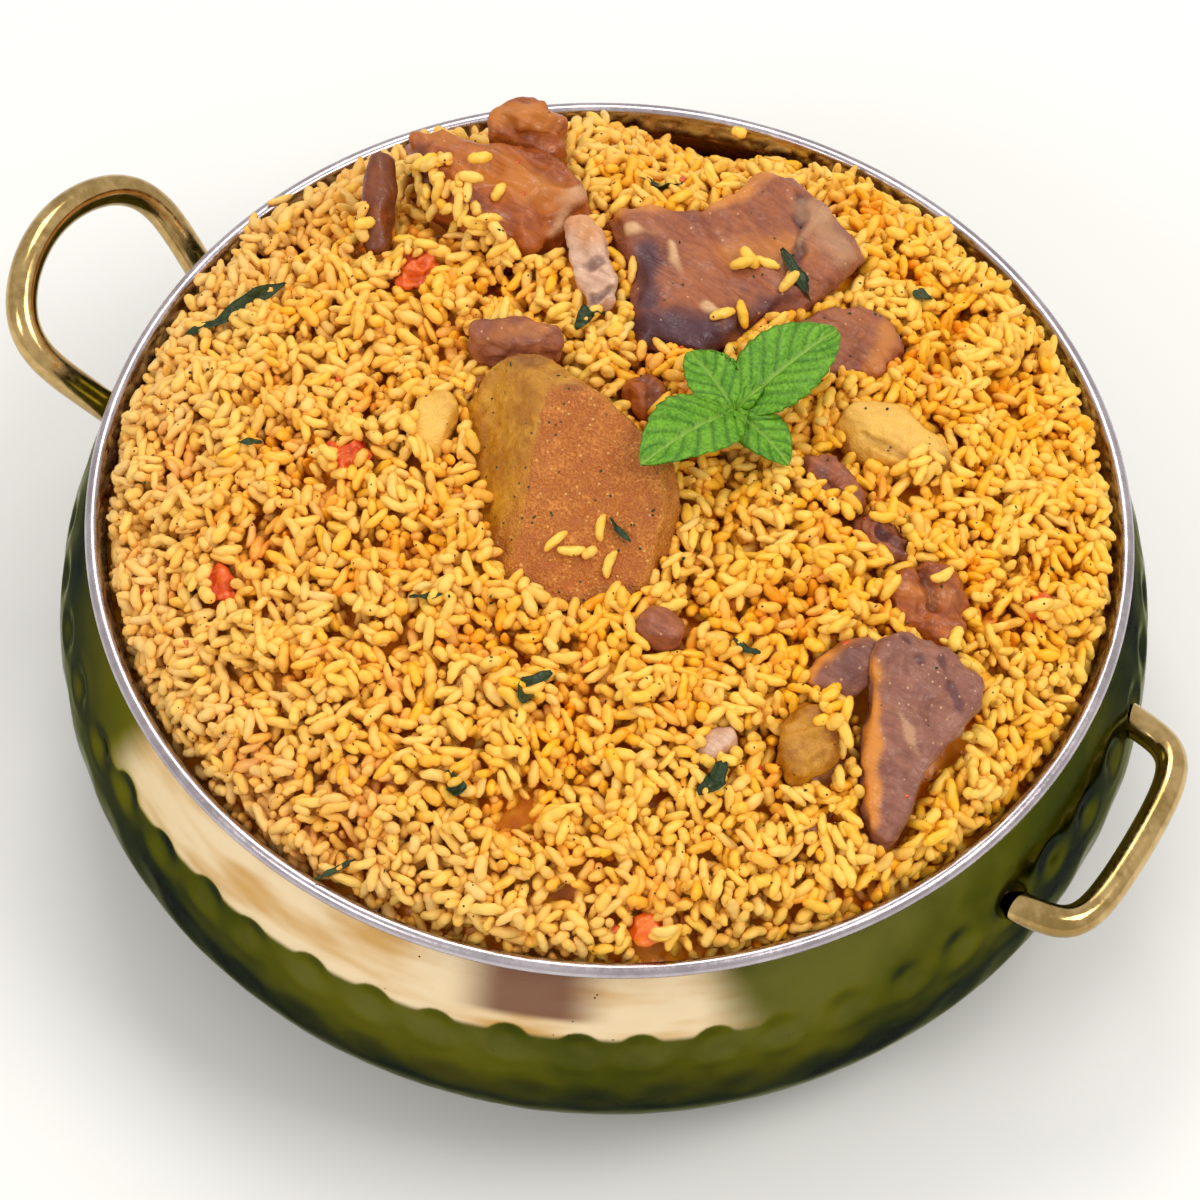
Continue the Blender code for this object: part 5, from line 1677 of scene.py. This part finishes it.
@dataclass
class Seasoning:
    """Cooked herbs, pepper and chilli on the heap."""
    heap: RiceHeap
    leaves: tuple[HerbLeaf, ...] = (
        HerbLeaf(((-89, -10), (-84, -6), (-80, 1), (-77.5, 7.5)), 3.4),
        HerbLeaf(((-29, 60.5), (-24, 59.5), (-19.5, 60)), 3.6, 1.4),
        HerbLeaf(((5, 55), (9, 52), (13, 51), (16, 53)), 3.0, 1.2),
        HerbLeaf(((-19.5, 19), (-19, 23), (-17, 26.5)), 3.2),
        HerbLeaf(((30, 64), (31, 68), (32, 71.5)), 3.6, 0.6),
        HerbLeaf(((13.5, -56.5), (11.5, -52), (13.8, -47)), 3.8, 1.3),
        HerbLeaf(((7.5, -73), (10, -75), (12, -74)), 3.4, 1.6),
        HerbLeaf(((48, -53), (50, -50), (49.5, -46.5)), 3.8, 1.4),
        HerbLeaf(((-16.5, -47), (-13, -46), (-10.5, -45.5)), 1.8),
        HerbLeaf(((8.5, -17), (11, -18.5), (14, -19)), 1.4),
        HerbLeaf(((-5.5, -98), (-3, -94), (-1.5, -90.5)), 1.2),
        HerbLeaf(((39, -24.5), (42, -25), (44.5, -24)), 1.6),
        HerbLeaf(((-72, 44), (-70, 47)), 3.2, 0.5),
        HerbLeaf(((-62, -33), (-59, -30)), 1.6),
    )
    rim_top: float = 73.6 * MM
    pepper: int = 420
    chilli: int = 60
    flecks: int = 240

    def ground(self, x: float, y: float) -> float:
        """Return the height of the food at a place in mm."""
        if math.hypot(x, y) > self.heap.wall_radius / MM:
            return self.rim_top
        row, column = self.heap.index(x * MM), self.heap.index(y * MM)
        patch = self.heap.height[row - 1:row + 2, column - 1:column + 2]
        return float(np.clip(np.median(patch), 0, 0.12))

    def herb_leaves(self) -> bpy.types.Object:
        """Make all the larger bits of herb as one piece."""
        points, faces = [], []
        for number, leaf in enumerate(self.leaves):
            self.add_strip(leaf, number, points, faces)
        mesh = mesh_from("herb_leaves", points, faces)
        set_attribute(mesh, "vein", np.zeros(len(mesh.vertices)))
        face_outwards(mesh, 0.01 * MM)
        return hand_in(new_object("herb_leaves", mesh, HERB), Slot.MINT)

    def add_strip(self, leaf: HerbLeaf, number: int, points: list, faces: list) -> None:
        """Add one curled strip to the lists of points and faces."""
        steps, cross = 18, 6
        spots = [Vector((x, y, self.ground(x, y) / MM + 1.1)) for x, y in leaf.path]
        thick = 0.16
        start = len(points)
        for side in (1, -1):
            for step in range(steps + 1):
                part = step / steps * (len(spots) - 1)
                low = min(int(part), len(spots) - 2)
                centre = spots[low].lerp(spots[low + 1], part - low)
                run = (spots[low + 1] - spots[low]).normalized()
                across = Vector((-run.y, run.x, 0)).normalized()
                share = step / steps
                half = leaf.width / 2 * math.sin(math.pi * (0.04 + 0.92 * share)) ** 0.6
                half *= 1 + 0.35 * noise.noise(Vector((share * 5, number * 3.1, 0)))
                twist = leaf.curl * 1.4 * noise.noise(Vector((share * 2.2, number * 7.7, 4)))
                for at in range(cross + 1):
                    v = 2 * at / cross - 1
                    lift = abs(v) * half * 0.5 * leaf.curl + half * v * math.sin(twist)
                    lift += 0.35 * noise.noise(Vector((share * 9, v * 2, number)))
                    edge = side * thick * (1 - abs(v) ** 4)
                    spot = centre + across * (v * half * math.cos(twist))
                    points.append((spot + Vector((0, 0, lift + edge))) * MM)
        count = cross + 1
        top, low = start, start + (steps + 1) * count
        faces += grid_faces(top, steps + 1, count) + grid_faces(low, steps + 1, count)
        rim = list(range(count))
        rim += [step * count + cross for step in range(1, steps + 1)]
        rim += [steps * count + at for at in range(cross - 1, -1, -1)]
        rim += [step * count for step in range(steps - 1, 0, -1)]
        for a, b in zip(rim, rim[1:] + rim[:1]):
            faces.append((top + a, low + a, low + b, top + b))

    def chip(self, name: str, length: float, width: float, thick: float) -> bpy.types.Mesh:
        """Return a small uneven chip, in mm, for scattering."""
        shape = bmesh.new()
        bmesh.ops.create_icosphere(shape, subdivisions=1, radius=0.5)
        for vertex in shape.verts:
            push = 1 + 0.45 * noise.noise(vertex.co * 3 + Vector((length, width, 0)))
            vertex.co = Vector((vertex.co.x * length, vertex.co.y * width,
                                vertex.co.z * thick)) * push * MM
        mesh = bpy.data.meshes.new(name)
        shape.to_mesh(mesh)
        shape.free()
        return mesh

    def sprinkle(self, name: str, finish: Finish, shape: bpy.types.Mesh, count: int,
                 sizes: tuple[float, float], sit: float, extras: tuple[str, ...],
                 seed: int) -> None:
        """Scatter chips over the heap.

        Args:
            name: Name of the piece.
            finish: Finish of the chips.
            shape: Mesh of one chip.
            count: How many there are.
            sizes: Least and greatest scale.
            sit: How far a chip's centre stands over the surface, in mm.
            extras: Attributes of the finish that stay at zero.
            seed: Seed of the places.
        """
        random = np.random.default_rng(seed)
        radius = np.sqrt(random.uniform(0, 1, count)) * (self.heap.wall_radius - 2 * MM)
        angle = random.uniform(0, math.tau, count)
        x, y = radius * np.cos(angle), radius * np.sin(angle)
        z = np.array([self.ground(a / MM, b / MM) + sit * MM for a, b in zip(x, y)])
        turns = random.uniform(-math.pi, math.pi, (count, 3)) * np.array([0.25, 0.25, 1.0])
        stretches = random.uniform(*sizes, (count, 1)) * random.uniform(0.75, 1.25, (count, 3))
        piece = scatter(name, shape, finish, np.stack([x, y, z], axis=1), turns, stretches,
                        {label: np.zeros(count) for label in extras})
        hand_in(piece, finish.slot)

    def build(self) -> None:
        """Make the herbs, the pepper, the herb flecks and the chilli flakes."""
        self.herb_leaves()
        self.sprinkle("pepper_specks", HERB, self.chip("speck", 0.62, 0.5, 0.42), self.pepper,
                      (0.5, 1.3), 0.05, ("vein",), 31)
        self.sprinkle("herb_flecks", HERB, self.chip("fleck", 1.5, 0.55, 0.25), self.flecks,
                      (0.4, 1.1), 0.05, ("vein",), 32)
        self.sprinkle("chilli_flakes", TOMATO, self.chip("flake", 2.3, 1.5, 0.6), self.chilli,
                      (0.45, 1.1), -0.1, (), 33)


# ---------------------------------------------------------------- studio

@dataclass
class Studio:
    """Pale floor, soft lights and the camera."""
    azimuth: float = 27.05
    elevation: float = 57.094
    roll: float = 3.485
    distance: float = 0.9
    lens: float = 141.56
    aim: tuple[float, float] = (2.116 * MM, 16.256 * MM)
    aim_height: float = 72.5 * MM
    floor_colour: Colour = (0.86, 0.86, 0.85)

    def camera(self) -> None:
        """Set the camera, which looks down on the pot from the front right."""
        turn, rise, roll = (math.radians(v) for v in (self.azimuth, self.elevation, self.roll))
        back = Vector((math.sin(turn) * math.cos(rise), -math.cos(turn) * math.cos(rise),
                       math.sin(rise)))
        level = Vector((math.cos(turn), math.sin(turn), 0))
        upright = back.cross(level)
        right = math.cos(roll) * level + math.sin(roll) * upright
        up = math.cos(roll) * upright - math.sin(roll) * level
        place = back * self.distance - right * self.aim[0] - up * self.aim[1]
        place.z += self.aim_height
        data = bpy.data.cameras.new("camera")
        data.sensor_width = 36
        data.lens = self.lens
        data.clip_start = 0.01
        item = bpy.data.objects.new("camera", data)
        item.matrix_world = Matrix(((right.x, up.x, back.x, place.x),
                                    (right.y, up.y, back.y, place.y),
                                    (right.z, up.z, back.z, place.z), (0, 0, 0, 1)))
        bpy.context.scene.collection.objects.link(item)
        bpy.context.scene.camera = item

    def light(self, name: str, azimuth: float, elevation: float, size: float, power: float,
              colour: Colour = (1.0, 1.0, 1.0)) -> None:
        """Add a square soft light that looks at the pot from a metre away."""
        turn, rise = math.radians(azimuth), math.radians(elevation)
        away = Vector((math.cos(turn) * math.cos(rise), math.sin(turn) * math.cos(rise),
                       math.sin(rise)))
        data = bpy.data.lights.new(name, "AREA")
        data.size = size
        data.energy = power
        data.color = colour
        item = bpy.data.objects.new(name, data)
        item.location = away * 1.0 + Vector((0, 0, self.aim_height))
        item.rotation_euler = away.to_track_quat("Z", "Y").to_euler()
        bpy.context.scene.collection.objects.link(item)

    def build(self) -> None:
        """Set up the whole studio."""
        self.camera()
        mesh = mesh_from("floor", [(-3, -3, -0.2 * MM), (3, -3, -0.2 * MM), (3, 3, -0.2 * MM),
                                   (-3, 3, -0.2 * MM)], [(0, 1, 2, 3)])
        floor = new_object("floor", mesh)
        paint = bpy.data.materials.new("floor_paint")
        paint.use_nodes = True
        Sheet(paint.node_tree).feed(paint.node_tree.nodes["Principled BSDF"], {
            "Base Color": (*self.floor_colour, 1.0), "Roughness": 0.8})
        mesh.materials.append(paint)
        world = bpy.data.worlds.new("studio")
        bpy.context.scene.world = world
        world.use_nodes = True
        Sheet(world.node_tree).feed(world.node_tree.nodes["Background"],
                                    {"Color": (1.0, 0.98, 0.95, 1), "Strength": 0.72})
        self.light("key", 130, 62, 0.4, 2.7, (1.0, 0.97, 0.92))
        self.light("front", -110, 40, 0.3, 1.8, (1.0, 0.98, 0.95))
        self.light("side", 10, 55, 0.4, 3.4, (1.0, 0.98, 0.94))
        bpy.context.scene.view_settings.view_transform = "Standard"


# places where rice is heaped over a piece: x, y, reach and height in mm
MOUNDS = [
    (-62, 35, 6, 2.2), (-54, 32, 7, 2.4), (-45, 30, 6, 2.4), (-59, 19, 4, 1.8),
    (-52, 22, 3, 1.6), (-45, -29, 3, 1.6), (-47, -55, 2.4, 1.4), (53, -78, 2.6, 1.6),
    (1, 48, 3.2, 2.2), (10, 50, 2.6, 2.0), (50, 28, 4, 2.2),
    (62, -29, 4.5, 2.6), (60, -25, 3.5, 2.2), (42, 12, 3.5, 2.4), (36, 12, 3, 2.2),
    (50, 15, 3, 2.0), (-33, -17, 4.5, 2.2), (-36, -8, 3, 2.0), (-40, -29, 3.5, 2.0),
    (-45, -22, 3, 2.0), (-53, -60, 3.2, 2.0), (83, 16, 3, 2.2), (-57, 22, 4, 2.2),
    (53, -74, 2.6, 1.8), (-70, 22, 4, 2.4), (20, 36, 4, 2.4), (31, 40, 3.5, 2.0),
    (57, 0, 3.4, 2.2), (74, -2, 3.4, 2.2), (44, -45, 3, 2.2), (5, 12, 3.5, 2.2),
    (-32, 12, 3.5, 2.2), (-19, 22, 3.5, 2.2), (80, -44, 3.4, 2.4),
]

# grains that lie on the meat, the potato and the rim: x, y in mm and heading in degrees
STRAYS = [
    (8, -23.5, 70), (7.5, -19, 120), (5, -25, 20), (12, -23.5, 95), (1.5, -25, 60),
    (0.5, 47.5, 30), (4, 51, 10), (10, 49, 80), (-17.5, 37, 110), (3, 35.5, 40), (6, 38, 150),
    (-60, 38, 60), (-57, 34, 100), (-53, 36, 20), (-50, 33, 140), (-55, 43, 50), (-48, 38, 90),
    (65, 8.5, 75), (61, -31, 40),
    (64, -27, 100), (66, -31, 150), (60, -26, 60), (68, -36, 120), (49, 29, 60), (52, 31, 10),
    (-94.5, 22, 100), (-93, 30, 60), (-24, 93.5, 10), (20, 91, 140), (55, -76.5, 60),
]


def main() -> None:
    """Build the pot, the food, the rice and the seasoning, then the studio."""
    logging.basicConfig(level=logging.INFO, format="%(message)s")
    Studio().build()
    Pot().build()
    pieces = [piece.build() for piece in FOOD]
    MintSprig().build()
    heap = RiceHeap()
    heap.survey(pieces)
    heap.core()
    heap.pile()
    heap.stray(STRAYS)
    heap.grains()
    Seasoning(heap).build()
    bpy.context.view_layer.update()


if __name__ == "__main__":
    main()
